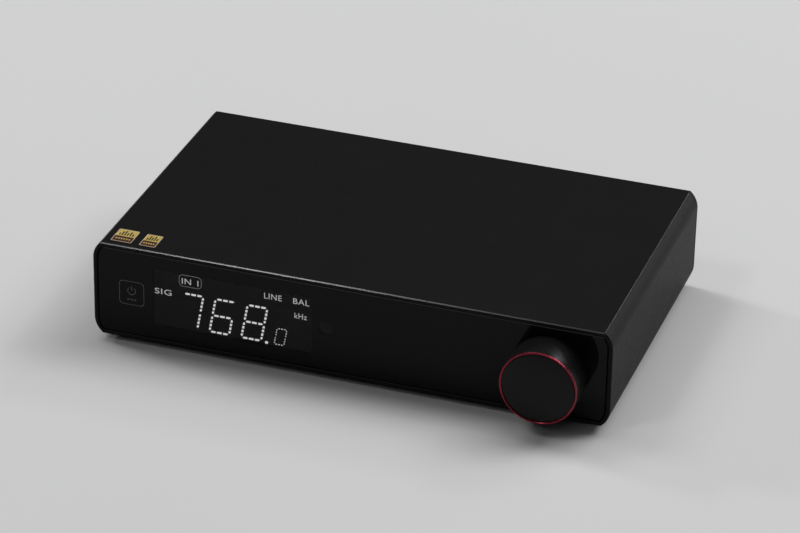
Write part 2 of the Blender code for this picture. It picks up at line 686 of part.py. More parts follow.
def usb_socket():
    opening = [
        (USB_X - 4.25, MIDDLE - 3.9),
        (USB_X + 4.25, MIDDLE - 3.9),
        (USB_X + 4.25, MIDDLE + 2.4),
        (USB_X + 2.75, MIDDLE + 3.9),
        (USB_X - 2.75, MIDDLE + 3.9),
        (USB_X - 4.25, MIDDLE + 2.4),
    ]
    shell_outline = rectangle(USB_X, MIDDLE, 12.0, 10.8, 0.6)
    prism("usb_socket", NICKEL, [shell_outline, opening], "Y", REAR - 15.0, REAR + 0.5)
    tongue = box(
        "usb_tongue",
        WHITE_PLASTIC,
        (USB_X - 2.8, REAR - 13.0, MIDDLE - 1.6),
        (USB_X + 2.8, REAR - 1.5, MIDDLE + 1.6),
    )
    base = box(
        "usb_tongue_base",
        WHITE_PLASTIC,
        (USB_X - 4.0, REAR - 14.8, MIDDLE - 3.6),
        (USB_X + 4.0, REAR - 12.0, MIDDLE + 2.2),
    )
    combine(tongue, "UNION", [base])


def optical_socket():
    """The optical input, with the flap that closes it until a plug pushes it in."""
    half, cavity = 4.95, OPTICAL_CAVITY / 2
    shell = box(
        "optical_socket",
        BLACK_PLASTIC,
        (OPTICAL_X - half, REAR - 14.0, MIDDLE - half),
        (OPTICAL_X + half, REAR + 0.5, MIDDLE + half),
    )
    hollow = box(
        "optical_cavity",
        BLACK_PLASTIC,
        (OPTICAL_X - cavity, REAR - 10.5, MIDDLE - cavity),
        (OPTICAL_X + cavity, REAR + 3.0, MIDDLE + cavity),
    )
    combine(shell, "DIFFERENCE", [hollow])
    hinge = (OPTICAL_X, REAR - SHUTTER_DEPTH, MIDDLE + cavity - 0.6)
    reach = OPTICAL_CAVITY - 0.8
    angles = [math.pi * i / 6 for i in range(7)]
    knuckle = [(hinge[1] + 0.4 * math.cos(a), hinge[2] + 0.4 * math.sin(a)) for a in angles]
    blade = [(hinge[1] - 0.4, hinge[2] - reach + 0.2), (hinge[1] + 0.4, hinge[2] - reach + 0.2)]
    shutter = prism(
        "optical_shutter",
        BLACK_PLASTIC,
        [knuckle + blade],
        "X",
        OPTICAL_X - cavity + 0.2,
        OPTICAL_X + cavity - 0.2,
    )
    hang_on("optical_shutter_axis", hinge, [shutter])


def antenna_jack():
    centre = (ANTENNA_X, REAR, MIDDLE)
    profile = [
        (0.7, 8.5),
        (2.9, 8.5),
        (3.1, 8.2),
        (3.1, -2.15),
        (4.6, -2.15),
        (4.6, -4.0),
        (3.0, -4.0),
        (3.0, -11.0),
        (0, -11.0),
        (0, 3.0),
        (0.7, 3.0),
    ]
    turned("antenna_jack", GOLD_PLATE, profile, centre, "REAR")
    nut_outlines = [hexagon(ANTENNA_X, MIDDLE, 8.0), circle(ANTENNA_X, MIDDLE, ANTENNA_HOLE, 20)]
    prism("antenna_nut", GOLD_PLATE, nut_outlines, "Y", REAR + FACE_GAP, REAR + 2.2)


def trigger_jack(name, x):
    profile = [
        (1.8, 0.8),
        (2.8, 0.8),
        (3.0, 0.6),
        (3.0, -2.15),
        (4.2, -2.15),
        (4.2, -14.5),
        (0, -14.5),
        (0, -13.0),
        (1.8, -13.0),
    ]
    turned(f"trigger_{name}_jack", BLACK_PLASTIC, profile, (x, REAR, MIDDLE), "REAR", 20)


def mains_inlet():
    bezel_outline = rectangle(INLET_X, MIDDLE, 25.0, 18.0, 4.5)
    body_outline = rectangle(INLET_X, MIDDLE, 21.0, 14.0, 3.0)
    opening = figure_eight(INLET_X, MIDDLE, INLET_LOBE_SPACING, 4.2)
    floor = REAR - 12.0
    inlet = prism("mains_inlet", BLACK_PLASTIC, [bezel_outline], "Y", REAR + FACE_GAP, REAR + 1.8)
    body = prism("inlet_body", BLACK_PLASTIC, [body_outline], "Y", REAR - 14.0, REAR + 1.0)
    combine(inlet, "UNION", [body])
    cavity = prism("inlet_cavity", BLACK_PLASTIC, [opening], "Y", floor, REAR + 4)
    combine(inlet, "DIFFERENCE", [cavity])
    plate_outline = figure_eight(INLET_X, MIDDLE, INLET_LOBE_SPACING, 3.9)
    plate = prism("mains_contacts", NICKEL, [plate_outline], "Y", floor + FACE_GAP, floor + 0.9)
    pins = []
    for side, name in ((-1, "left"), (1, "right")):
        pin_centre = (INLET_X + side * INLET_PIN_SPACING / 2, MIDDLE)
        pins.append(rod(f"mains_pin_{name}", NICKEL, pin_centre, 1.2, floor + 0.5, REAR - 2))
    combine(plate, "UNION", pins)


def mains_switch():
    bezel_outline = rectangle(SWITCH_X, MIDDLE, 15.0, 21.0, 1.2)
    frame = prism("switch_frame", BLACK_PLASTIC, [bezel_outline], "Y", REAR + FACE_GAP, REAR + 1.8)
    body_outline = rectangle(SWITCH_X, MIDDLE, 12.8, 18.8)
    body = prism("switch_body", BLACK_PLASTIC, [body_outline], "Y", REAR - 12.0, REAR + 1.0)
    window_outline = rectangle(SWITCH_X, MIDDLE, 11.2, 16.8)
    window = prism("switch_window", BLACK_PLASTIC, [window_outline], "Y", REAR - 10.0, REAR + 4)
    combine(frame, "UNION", [body])
    combine(frame, "DIFFERENCE", [window])
    swing_radius, dished_middle, tip = 8.1, (2.6, 0.0), (4.3, 7.3)
    outer_angle = math.acos(2.4 / swing_radius)
    inner_angle = math.acos(-3.0 / swing_radius)
    side = [dished_middle, tip]
    for step in range(6):
        angle = outer_angle + (inner_angle - outer_angle) * step / 5
        side.append((swing_radius * math.cos(angle), swing_radius * math.sin(angle)))
    outline = side + [(out, -up) for out, up in reversed(side[1:])]
    tilt = math.radians(SWITCH_TILT)
    pivot_y = REAR - SWITCH_PIVOT_DEPTH
    turned_outline = [
        (
            pivot_y + out * math.cos(tilt) - up * math.sin(tilt),
            MIDDLE + out * math.sin(tilt) + up * math.cos(tilt),
        )
        for out, up in outline
    ]
    rocker = prism("switch_rocker", BLACK_PLASTIC, [turned_outline], "X", SWITCH_X - 5.3, SWITCH_X + 5.3)
    hang_on("mains_rocker_axis", (SWITCH_X, pivot_y, MIDDLE), [rocker])


def build():
    housing_sleeve()
    front_panel()
    panel_mask()
    front_frame()
    rear_panel()
    rear_screws()
    feet()
    foil_labels()
    encoder(knob())
    display_electronics()
    display_ribbon()
    main_electronics()
    mains_lead()
    for side, x in BALANCED_X.items():
        balanced_socket(side, x)
    for name, plastic in (("left", WHITE_PLASTIC), ("right", RED_PLASTIC), ("coax", ORANGE_PLASTIC)):
        phono_socket(name, PHONO_X[name], plastic)
    usb_socket()
    optical_socket()
    antenna_jack()
    for name, x in TRIGGER_X.items():
        trigger_jack(name, x)
    mains_inlet()
    mains_switch()


build()
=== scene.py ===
"""Looks for the desktop DAC: finer casing, knob and sockets, a lit display, and a soft studio.

Local outlines and profiles are in millimetres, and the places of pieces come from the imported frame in
metres."""

import math

import bmesh
import bpy
from mathutils import Matrix, Vector


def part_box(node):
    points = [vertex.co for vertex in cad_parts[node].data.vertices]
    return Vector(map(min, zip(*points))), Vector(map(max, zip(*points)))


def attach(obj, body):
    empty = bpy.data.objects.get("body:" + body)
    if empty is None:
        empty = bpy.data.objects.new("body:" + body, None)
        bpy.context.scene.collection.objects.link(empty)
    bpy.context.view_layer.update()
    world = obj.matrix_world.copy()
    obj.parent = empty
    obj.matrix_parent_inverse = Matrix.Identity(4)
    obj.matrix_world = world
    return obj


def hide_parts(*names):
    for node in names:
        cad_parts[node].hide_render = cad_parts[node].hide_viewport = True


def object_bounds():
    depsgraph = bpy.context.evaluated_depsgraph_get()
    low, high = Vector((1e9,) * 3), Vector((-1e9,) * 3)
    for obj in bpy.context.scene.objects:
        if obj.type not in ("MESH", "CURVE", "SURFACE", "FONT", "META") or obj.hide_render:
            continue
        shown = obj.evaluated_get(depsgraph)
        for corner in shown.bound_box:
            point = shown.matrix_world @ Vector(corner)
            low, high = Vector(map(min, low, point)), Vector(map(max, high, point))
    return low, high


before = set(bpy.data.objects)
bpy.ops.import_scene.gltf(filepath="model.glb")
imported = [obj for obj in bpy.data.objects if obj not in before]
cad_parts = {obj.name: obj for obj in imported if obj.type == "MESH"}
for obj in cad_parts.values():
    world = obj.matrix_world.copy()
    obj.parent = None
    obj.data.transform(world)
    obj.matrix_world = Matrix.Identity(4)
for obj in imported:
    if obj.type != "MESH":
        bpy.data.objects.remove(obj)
CAD_LOW, CAD_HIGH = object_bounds()
MM = 0.001

# Camera: its place from the middle of the housing's lower front edge, in millimetres, and its turns
CAMERA_FROM_FRONT = (479.13, -1368.70, 848.18)
CAMERA_AZIMUTH, CAMERA_ELEVATION, CAMERA_ROLL = 18.365, 28.557, 1.091
CAMERA_LENS, SENSOR = 164.87, 36.0

# Planes and centres of the frame
SLEEVE_LOW, SLEEVE_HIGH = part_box("housing_sleeve")
FRONT = SLEEVE_LOW.y
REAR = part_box("rear_panel")[1].y
TOP = SLEEVE_HIGH.z
MIDDLE = (SLEEVE_LOW.z + SLEEVE_HIGH.z) / 2
HALF_WIDTH = SLEEVE_HIGH.x / MM
HALF_HEIGHT = (TOP - MIDDLE) / MM

# The housing's section, as in the CAD
CORNER_RADIUS = 11.0
CREASE_INSET = 4.0
ARC_X = HALF_WIDTH - CORNER_RADIUS
ARC_Z = HALF_HEIGHT - math.sqrt(CORNER_RADIUS**2 - (CORNER_RADIUS - CREASE_INSET) ** 2)
SLEEVE_WALL = 2.0

# Finer than the CAD: the flat beside each crease, and the bevels of the sleeve's mouth and the glass
CREASE_EASING = 0.16
EDGE_CHAMFER = 0.42
MOUTH_CHAMFER = 0.25
GLASS_GAP, GLASS_BEVEL = 0.3, 0.3
SHAFT_HOLE_RADIUS = 7.0

# The parts of the front glass without print behind them: just inside the display's opening, and a round one
CLEAR_WIDTH, CLEAR_HEIGHT = 78.2, 29.6
IR_RADIUS = 3.5
GLASS_TINT = (0.04, 0.04, 0.041)
PRINT_BEHIND_GLASS = (0.0035, 0.0035, 0.0035)


def centre_of(node):
    low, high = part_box(node)
    return (low + high) / 2


# Materials

def shader_of(made):
    return made.node_tree.nodes["Principled BSDF"]


def material(name, colour, roughness, metallic=0.0, **sockets):
    made = bpy.data.materials.new(name)
    made.use_nodes = True
    shader = shader_of(made)
    shader.inputs["Base Color"].default_value = (*colour, 1.0)
    shader.inputs["Roughness"].default_value = roughness
    shader.inputs["Metallic"].default_value = metallic
    for socket, value in sockets.items():
        shader.inputs[socket.replace("_", " ")].default_value = value
    return made


def node(made, kind, **values):
    """A new node with its inputs, or its own settings, given by name."""
    new = made.node_tree.nodes.new(kind)
    for name, value in values.items():
        if name in new.inputs:
            new.inputs[name].default_value = value
        else:
            setattr(new, name, value)
    return new


def link(made, source, target):
    made.node_tree.links.new(source, target)


def computed(made, kind, operation, first, second=None):
    """The node of a sum, fed by links or by plain values."""
    new = node(made, kind, operation=operation)
    for socket, value in zip(new.inputs, (first, second)):
        if isinstance(value, bpy.types.NodeSocket):
            link(made, value, socket)
        elif value is not None:
            socket.default_value = value
    return new


def noise(made, scale, detail=2.0):
    """Noise over the object's own coordinates, in metres, so that its grain has a real size."""
    where = node(made, "ShaderNodeTexCoord")
    texture = node(made, "ShaderNodeTexNoise", Scale=scale, Detail=detail)
    link(made, where.outputs["Object"], texture.inputs["Vector"])
    return texture.outputs["Fac"]


def spread(made, source, low, high):
    """The middle of the noise's range, stretched to run from low to high."""
    ramp = node(made, "ShaderNodeMapRange")
    ramp.inputs["From Min"].default_value = 0.3
    ramp.inputs["From Max"].default_value = 0.7
    ramp.inputs["To Min"].default_value = low
    ramp.inputs["To Max"].default_value = high
    link(made, source, ramp.inputs["Value"])
    return ramp.outputs["Result"]


def blend_colour(made, share, first, second):
    """Sets the base colour to a mix of two, by a share that varies over the surface."""
    mix = node(made, "ShaderNodeMix", data_type="RGBA")
    colours = [socket for socket in mix.inputs if socket.type == "RGBA"]
    colours[0].default_value = (*first, 1.0)
    colours[1].default_value = (*second, 1.0)
    link(made, share, mix.inputs["Factor"])
    result = [socket for socket in mix.outputs if socket.type == "RGBA"][0]
    link(made, result, shader_of(made).inputs["Base Color"])
    return made


def vary_colour(made, scale, dark, light):
    return blend_colour(made, spread(made, noise(made, scale, 3.0), 0.0, 1.0), dark, light)


def vary_roughness(made, scale, low, high):
    link(made, spread(made, noise(made, scale), low, high), shader_of(made).inputs["Roughness"])
    return made


def grain(made, scale, strength, distance):
    bump = node(made, "ShaderNodeBump", Strength=strength, Distance=distance)
    link(made, noise(made, scale), bump.inputs["Height"])
    link(made, bump.outputs["Normal"], shader_of(made).inputs["Normal"])
    return made


def anodised_black():
    made = material("anodised_black", (0.0098, 0.0098, 0.0100), 0.45, Specular_IOR_Level=0.06)
    vary_colour(made, 45.0, (0.0094, 0.0094, 0.0096), (0.0102, 0.0102, 0.0104))
    vary_roughness(made, 500.0, 0.42, 0.48)
    return grain(made, 3600.0, 0.15, 0.00004)


def polish_with_painted_highlight(name, level):
    """The sleeve's upper edges, smoother than its blasted faces and given a far lighter colour as a painted
    highlight; the same edges lower down and at the sides keep the darker rim finish.
    """
    made = material(name, (level, level, level * 1.02), 0.32, 1.0)
    return vary_roughness(made, 900.0, 0.30, 0.35)


def anodised_rim():
    """The sleeve's flat front end and the lower and side chamfers of its mouth, a little darker than its
    blasted faces.
    """
    made = material("anodised_rim", (0.0085, 0.0085, 0.0086), 0.4, Specular_IOR_Level=0.06)
    return vary_roughness(made, 900.0, 0.36, 0.44)


def knob_black():
    made = material("knob_black", (0.0046, 0.0046, 0.0047), 0.38, Specular_IOR_Level=0.15)
    vary_roughness(made, 500.0, 0.35, 0.42)
    return grain(made, 4200.0, 0.2, 0.00004)


def knob_side():
    """The knob's turned side, a little glossier than its face."""
    made = material("knob_side", (0.0040, 0.0040, 0.0041), 0.33, Specular_IOR_Level=0.36)
    vary_roughness(made, 500.0, 0.30, 0.36)
    return grain(made, 4200.0, 0.15, 0.00004)


def clear_parts(made):
    """1 where the front glass has no print behind it, and 0 elsewhere."""
    where = node(made, "ShaderNodeTexCoord").outputs["Object"]

    def share_of(centre, half_width, half_height):
        """How far a point lies from a centre on the front, as a share of the half width and height."""
        offset = computed(made, "ShaderNodeVectorMath", "SUBTRACT", where, (centre.x, 0, MIDDLE))
        scale = (1 / (half_width * MM), 0, 1 / (half_height * MM))
        share = computed(made, "ShaderNodeVectorMath", "MULTIPLY", offset.outputs["Vector"], scale)
        return share.outputs["Vector"]

    window = share_of(centre_of("display_module"), CLEAR_WIDTH / 2, CLEAR_HEIGHT / 2)
    sides = node(made, "ShaderNodeSeparateXYZ")
    sizes = computed(made, "ShaderNodeVectorMath", "ABSOLUTE", window).outputs["Vector"]
    link(made, sizes, sides.inputs["Vector"])
    square = computed(made, "ShaderNodeMath", "MAXIMUM", sides.outputs["X"], sides.outputs["Z"])
    disc = share_of(centre_of("ir_receiver"), IR_RADIUS, IR_RADIUS)
    distance = computed(made, "ShaderNodeVectorMath", "LENGTH", disc)
    nearest = computed(made, "ShaderNodeMath", "MINIMUM", square.outputs["Value"], distance.outputs["Value"])
    return computed(made, "ShaderNodeMath", "LESS_THAN", nearest.outputs["Value"], 1.0).outputs["Value"]


def smoked_glass():
    """Glass that is clear over the display and the remote receiver, and printed black behind elsewhere."""
    made = material("smoked_glass", GLASS_TINT, 0.0, IOR=1.2)
    clear = clear_parts(made)
    link(made, clear, shader_of(made).inputs["Transmission Weight"])
    return blend_colour(made, clear, PRINT_BEHIND_GLASS, GLASS_TINT)


def glass_bevel_painted_highlight():
    """The upper bevel of the front glass, ground, and given a lighter grey than the glass as a painted
    highlight; the lower and side bevels keep the dark glass.
    """
    made = material("glass_bevel_painted_highlight", (0.055, 0.055, 0.056), 0.5, Specular_IOR_Level=0.25)
    return vary_roughness(made, 900.0, 0.45, 0.55)


def black_print():
    made = material("black_print", (0.0008, 0.0008, 0.0008), 0.8, Specular_IOR_Level=0.0)
    return vary_roughness(made, 500.0, 0.7, 0.9)


def moulded_black():
    made = material("moulded_black", (0.014, 0.014, 0.015), 0.45)
    vary_roughness(made, 700.0, 0.38, 0.52)
    return grain(made, 2600.0, 0.35, 0.00005)


def red_ring():
    made = material("red_ring", (0.20, 0.011, 0.026), 0.22, 0.7)
    return vary_roughness(made, 1800.0, 0.2, 0.28)


def foot_rubber():
    made = material("foot_rubber", (0.012, 0.012, 0.012), 0.75)
    vary_colour(made, 300.0, (0.010, 0.010, 0.010), (0.018, 0.018, 0.018))
    return grain(made, 1500.0, 0.4, 0.00008)


def gold_foil():
    made = material("gold_foil", (0.80, 0.60, 0.17), 0.32, 0.4)
    vary_colour(made, 220.0, (0.66, 0.46, 0.10), (0.90, 0.72, 0.26))
    return vary_roughness(made, 400.0, 0.26, 0.38)


def pale_foil():
    made = material("pale_foil", (0.62, 0.50, 0.34), 0.35, 0.3)
    return vary_colour(made, 300.0, (0.55, 0.42, 0.28), (0.68, 0.56, 0.40))


def label_brown():
    made = material("label_brown", (0.05, 0.016, 0.011), 0.4)
    return vary_colour(made, 300.0, (0.035, 0.011, 0.008), (0.075, 0.024, 0.016))


def label_black():
    made = material("label_black", (0.012, 0.010, 0.010), 0.35)
    return vary_roughness(made, 500.0, 0.3, 0.42)


def plated(name, dark, light, roughness):
    made = material(name, light, roughness, 1.0)
    vary_colour(made, 400.0, dark, light)
    return vary_roughness(made, 1200.0, roughness - 0.05, roughness + 0.07)


def plastic(name, dark, light):
    made = material(name, light, 0.4)
    vary_colour(made, 350.0, dark, light)
    return grain(made, 1800.0, 0.2, 0.00004)


def circuit_green():
    made = material("circuit_green", (0.008, 0.05, 0.025), 0.4)
    vary_colour(made, 900.0, (0.006, 0.04, 0.02), (0.012, 0.07, 0.035))
    return grain(made, 1200.0, 0.2, 0.00005)


def glow(name, colour, strength, grain_low=0.92):
    """A lit mark, or a faint painted glow that stands in for lamp light on a dark face. Its light varies a
    little over the surface, as a display's does.
    """
    made = material(name, (0.001, 0.001, 0.001), 0.8, Specular_IOR_Level=0.0, Emission_Color=(*colour, 1.0))
    level = spread(made, noise(made, 700.0), strength * grain_low, strength)
    link(made, level, shader_of(made).inputs["Emission Strength"])
    return made


# The display's marks are bright because the smoked glass before them is dark.
M = {
    "anodised": anodised_black(),
    # The edge and crease finishes are lighter copies of the anodising: painted highlights on the upper
    # chamfer and beside the creases.
    "edge": polish_with_painted_highlight("polish_with_painted_highlight", 0.17),
    "crease": polish_with_painted_highlight("crease_painted_highlight", 0.10),
    "rim": anodised_rim(),
    "knob": knob_black(),
    "knob_side": knob_side(),
    "glass": smoked_glass(),
    "glass_bevel": glass_bevel_painted_highlight(),
    "mask": black_print(),
    "moulded": moulded_black(),
    "red_ring": red_ring(),
    "rubber": foot_rubber(),
    "gold_foil": gold_foil(),
    "pale_foil": pale_foil(),
    "label_brown": label_brown(),
    "label_black": label_black(),
    "gold": plated("gold_plating", (0.74, 0.50, 0.20), (0.90, 0.68, 0.32), 0.22),
    "nickel": plated("nickel_plating", (0.50, 0.49, 0.47), (0.66, 0.65, 0.62), 0.25),
    "steel": plated("machined_steel", (0.40, 0.40, 0.41), (0.55, 0.55, 0.56), 0.33),
    "black_steel": plated("blackened_steel", (0.035, 0.035, 0.035), (0.06, 0.06, 0.06), 0.38),
    "white_plastic": plastic("white_plastic", (0.62, 0.62, 0.60), (0.74, 0.74, 0.71)),
    "red_plastic": plastic("red_plastic", (0.40, 0.012, 0.012), (0.52, 0.02, 0.02)),
    "orange_plastic": plastic("orange_plastic", (0.65, 0.18, 0.02), (0.80, 0.26, 0.03)),
    "yellow_tape": plastic("yellow_tape", (0.65, 0.46, 0.05), (0.78, 0.58, 0.09)),
    "ribbon": plastic("ribbon_film", (0.68, 0.68, 0.66), (0.78, 0.78, 0.75)),
    "lead_sleeve": plastic("lead_sleeve", (0.07, 0.07, 0.07), (0.14, 0.14, 0.14)),
    "epoxy": plastic("chip_epoxy", (0.014, 0.014, 0.015), (0.024, 0.024, 0.026)),
    "board": circuit_green(),
    "print_grey": plastic("print_grey", (0.070, 0.070, 0.071), (0.085, 0.085, 0.086)),
    # The display's dark face glows faintly: partly its own backlight, and partly painted light that stands in
    # for the lamps' light reaching it through the glass.
    "display_backlight_and_painted_light": glow("display_backlight_and_painted_light", (1.0, 1.0, 1.0), 0.075, 0.8),
    "display_digits": glow("display_digits", (1.0, 0.99, 0.96), 14.7),
    "display_words": glow("display_words", (1.0, 0.99, 0.97), 9.61),
    "display_dim": glow("display_dim", (1.0, 0.99, 0.97), 3.1),
    # The remote receiver's window is no lamp: its faint glow is painted light standing in for the lamps'
    # light seen through the glass.
    "ir_window_painted_light": glow("ir_window_painted_light", (1.0, 0.93, 0.93), 0.082, 0.8),
}


# Outlines in millimetres: lists of (across, up)

def arc(centre_x, centre_z, radius, start, end, steps):
    """Points along an arc, with its angles in degrees."""
    angles = [math.radians(start + (end - start) * i / steps) for i in range(steps + 1)]
    return [(centre_x + radius * math.cos(a), centre_z + radius * math.sin(a)) for a in angles]


def circle(centre_x, centre_z, radius, count=64):
    return arc(centre_x, centre_z, radius, 0, 360, count)[:-1]


def rectangle(centre_x, centre_z, width, height, radius=0.0, steps=8):
    half_w, half_h = width / 2, height / 2
    if radius <= 0:
        corners = [(half_w, -half_h), (half_w, half_h), (-half_w, half_h), (-half_w, -half_h)]
        return [(centre_x + x, centre_z + z) for x, z in corners]
    points = []
    for quarter, (side_x, side_z) in enumerate([(1, 1), (-1, 1), (-1, -1), (1, -1)]):
        corner_x = centre_x + side_x * (half_w - radius)
        corner_z = centre_z + side_z * (half_h - radius)
        points += arc(corner_x, corner_z, radius, 90 * quarter, 90 * quarter + 90, steps)
    return points


def body_section(shrink=0.0, steps=20):
    """The housing's outline about its own middle, moved inwards by shrink."""
    radius = CORNER_RADIUS - shrink
    crease = math.degrees(math.asin((HALF_HEIGHT - shrink - ARC_Z) / radius))
    eased = math.degrees(CREASE_EASING / radius)
    corner = arc(ARC_X, ARC_Z, radius, 0, crease - eased, steps)
    top_x = ARC_X + radius * math.cos(math.radians(crease)) - CREASE_EASING
    corner.append((top_x, HALF_HEIGHT - shrink))
    right = [(x, -z) for x, z in reversed(corner)] + corner
    return right + [(-x, z) for x, z in reversed(right)]


def figure_eight(spacing, radius, steps=24):
    """Two overlapping circles, as one outline."""
    open_angle = math.degrees(math.acos(min(1.0, spacing / 2 / radius)))
    right = arc(spacing / 2, 0, radius, open_angle - 180, 180 - open_angle, steps)
    left = arc(-spacing / 2, 0, radius, open_angle, 360 - open_angle, steps)
    return right + left


# Mesh builders

def shade(mesh, angle=32):
    mesh.shade_smooth()
    mesh.set_sharp_from_angle(angle=math.radians(angle))


def object_of(name, shape, matrix=None):
    """A new object from a bmesh, with its normals outwards."""
    bmesh.ops.remove_doubles(shape, verts=shape.verts, dist=0.0000005)
    bmesh.ops.recalc_face_normals(shape, faces=shape.faces)
    mesh = bpy.data.meshes.new(name)
    shape.to_mesh(mesh)
    shape.free()
    if matrix is not None:
        mesh.transform(matrix)
    shade(mesh)
    made = bpy.data.objects.new(name, mesh)
    bpy.context.scene.collection.objects.link(made)
    return made


def facing(direction, centre):
    """Places local +Z along a direction, with local +X kept level."""
    turns = {
        "FRONT": Matrix.Rotation(math.pi / 2, 4, "X"),
        "REAR": Matrix.Rotation(-math.pi / 2, 4, "X"),
        "UP": Matrix.Identity(4),
    }
    return Matrix.Translation(Vector(centre)) @ turns[direction]


def lathe(name, profile, centre, direction, segments=96):
    """A closed profile of (radius, height), turned about the axis that leaves centre in a direction."""
    shape = bmesh.new()
    rings = []
    for radius, height in profile:
        if radius == 0:
            rings.append([shape.verts.new((0, 0, height * MM))] * segments)
            continue
        ring = []
        for i in range(segments):
            angle = 2 * math.pi * i / segments
            x, y = radius * MM * math.cos(angle), radius * MM * math.sin(angle)
            ring.append(shape.verts.new((x, y, height * MM)))
        rings.append(ring)
    ends_on_axis = profile[0][0] == 0 and profile[-1][0] == 0
    count = len(rings) - 1 if ends_on_axis else len(rings)
    for row in range(count):
        low, high = rings[row], rings[(row + 1) % len(rings)]
        for i in range(segments):
            j = (i + 1) % segments
            corners = list(dict.fromkeys([low[i], low[j], high[j], high[i]]))
            if len(corners) > 2:
                shape.faces.new(corners)
    return object_of(name, shape, facing(direction, centre))


def loft(name, rings, matrix=None, closed=True):
    """Faces between rings of points with equal counts. A closed loft joins its last ring to its first."""
    shape = bmesh.new()
    made = [[shape.verts.new(point) for point in ring] for ring in rings]
    for row in range(len(made) if closed else len(made) - 1):
        low, high = made[row], made[(row + 1) % len(made)]
        for i in range(len(low)):
            j = (i + 1) % len(low)
            shape.faces.new((low[i], low[j], high[j], high[i]))
    if not closed:
        shape.faces.new(made[0])
        shape.faces.new(made[-1])
    return object_of(name, shape, matrix)


def settled(obj, matrix=None):
    """The evaluated shape as a plain mesh with welded seams, in the row frame."""
    bpy.context.view_layer.update()
    graph = bpy.context.evaluated_depsgraph_get()
    mesh = bpy.data.meshes.new_from_object(obj.evaluated_get(graph))
    shape = bmesh.new()
    shape.from_mesh(mesh)
    bpy.data.meshes.remove(mesh)
    name = obj.name
    bpy.data.objects.remove(obj)
    return object_of(name, shape, matrix)


def prism(name, outlines, centre, direction, low, high, chamfer=0.0, rounds=0):
    """A flat outline given thickness from low to high along a direction. The first outline is the edge,
    and the rest are holes. Seen from outside, across runs to +X for FRONT and UP and to -X for REAR."""
    curve = bpy.data.curves.new(name, "CURVE")
    curve.dimensions = "2D"
    curve.fill_mode = "BOTH"
    curve.extrude = ((high - low) / 2 - chamfer) * MM
    curve.bevel_depth = chamfer * MM
    curve.bevel_resolution = rounds
    curve.offset = -chamfer * MM
    mirror = -1 if direction == "REAR" else 1
    for outline in outlines:
        spline = curve.splines.new("POLY")
        spline.points.add(len(outline) - 1)
        for point, (across, up) in zip(spline.points, outline):
            point.co = (across * MM, mirror * up * MM, 0.0, 1.0)
        spline.use_cyclic_u = True
    obj = bpy.data.objects.new(name, curve)
    bpy.context.scene.collection.objects.link(obj)
    lift = Matrix.Translation((0, 0, (low + high) / 2 * MM))
    return settled(obj, facing(direction, centre) @ lift)


def joined(name, objects):
    """Several objects as one mesh."""
    shape = bmesh.new()
    for obj in objects:
        shape.from_mesh(obj.data)
        bpy.data.objects.remove(obj)
    return object_of(name, shape)


def cut(target, cutters):
    """The target without the cutters, which are used up."""
    for cutter in cutters:
        modifier = target.modifiers.new("shape", "BOOLEAN")
        modifier.operation = "DIFFERENCE"
        modifier.object = cutter
        modifier.solver = "EXACT"
    made = settled(target)
    for cutter in cutters:
        bpy.data.objects.remove(cutter)
    return made


def rounded(obj, width):
    """The object with its sharp edges rounded."""
    bevel = obj.modifiers.new("edges", "BEVEL")
    bevel.width = width * MM
    bevel.segments = 2
    bevel.limit_method = "ANGLE"
    bevel.angle_limit = math.radians(40)
    return settled(obj)


def place(obj, finish, body="chassis", stands_for=()):
    """Gives a piece its material, its body, and the CAD nodes that it stands for."""
    if not obj.data.materials:
        obj.data.materials.append(M[finish])
    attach(obj, body)
    if stands_for:
        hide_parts(*stands_for)
    return obj


# The casing

def section_ring(shrink, depth):
    """The housing's outline at a depth behind the front, as points in the row frame."""
    return [(x * MM, FRONT + depth * MM, MIDDLE + z * MM) for x, z in body_section(shrink)]


def sleeve():
    end = (SLEEVE_HIGH.y - FRONT) / MM
    rings = [
        section_ring(0, end),
        section_ring(0, EDGE_CHAMFER),
        section_ring(EDGE_CHAMFER, 0),
        section_ring(SLEEVE_WALL - MOUTH_CHAMFER, 0),
        section_ring(SLEEVE_WALL, MOUTH_CHAMFER),
        section_ring(SLEEVE_WALL, end),
    ]
    made = loft("sleeve_shell", rings)
    finishes = ["anodised", "edge", "rim", "crease"]
    for finish in finishes:
        made.data.materials.append(M[finish])
    shade(made.data, 15)
    # Only the upper chamfer and the strips beside the creases get the lighter copies, as painted highlights;
    # the lower and side chamfers keep the plain rim finish.
    outer_edge = MIDDLE + (HALF_HEIGHT - SLEEVE_WALL / 4) * MM
    for face in made.data.polygons:
        crease_highlight = 0.8 < face.normal.z < 0.99 and face.center.z > outer_edge
        top_chamfer_highlight = face.normal.y < -0.3 and face.normal.z > 0.5 and face.center.z > MIDDLE
        if top_chamfer_highlight:
            face.material_index = finishes.index("edge")
        elif crease_highlight:
            face.material_index = finishes.index("crease")
        elif face.normal.y < -0.3:
            face.material_index = finishes.index("rim")
    return place(made, "anodised", stands_for=["housing_sleeve"])


def glass():
    low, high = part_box("front_panel")
    shaft_hole = circle(centre_of("knob_shell").x / MM, 0, SHAFT_HOLE_RADIUS, 96)
    outlines = [body_section(SLEEVE_WALL + GLASS_GAP), shaft_hole]
    thickness = (high.y - low.y) / MM
    made = prism("front_glass", outlines, (0, high.y, MIDDLE), "FRONT", 0, thickness, chamfer=GLASS_BEVEL)
    for finish in ("glass", "glass_bevel"):
        made.data.materials.append(M[finish])
    # Only the upper bevel gets the lighter grey: a painted highlight.
    upper_edge = MIDDLE + (HALF_HEIGHT - SLEEVE_WALL - 1) * MM
    for face in made.data.polygons:
        if -0.9 < face.normal.y < -0.3 and face.center.z > upper_edge:
            face.material_index = 1
    return place(made, "glass", stands_for=["front_panel"])


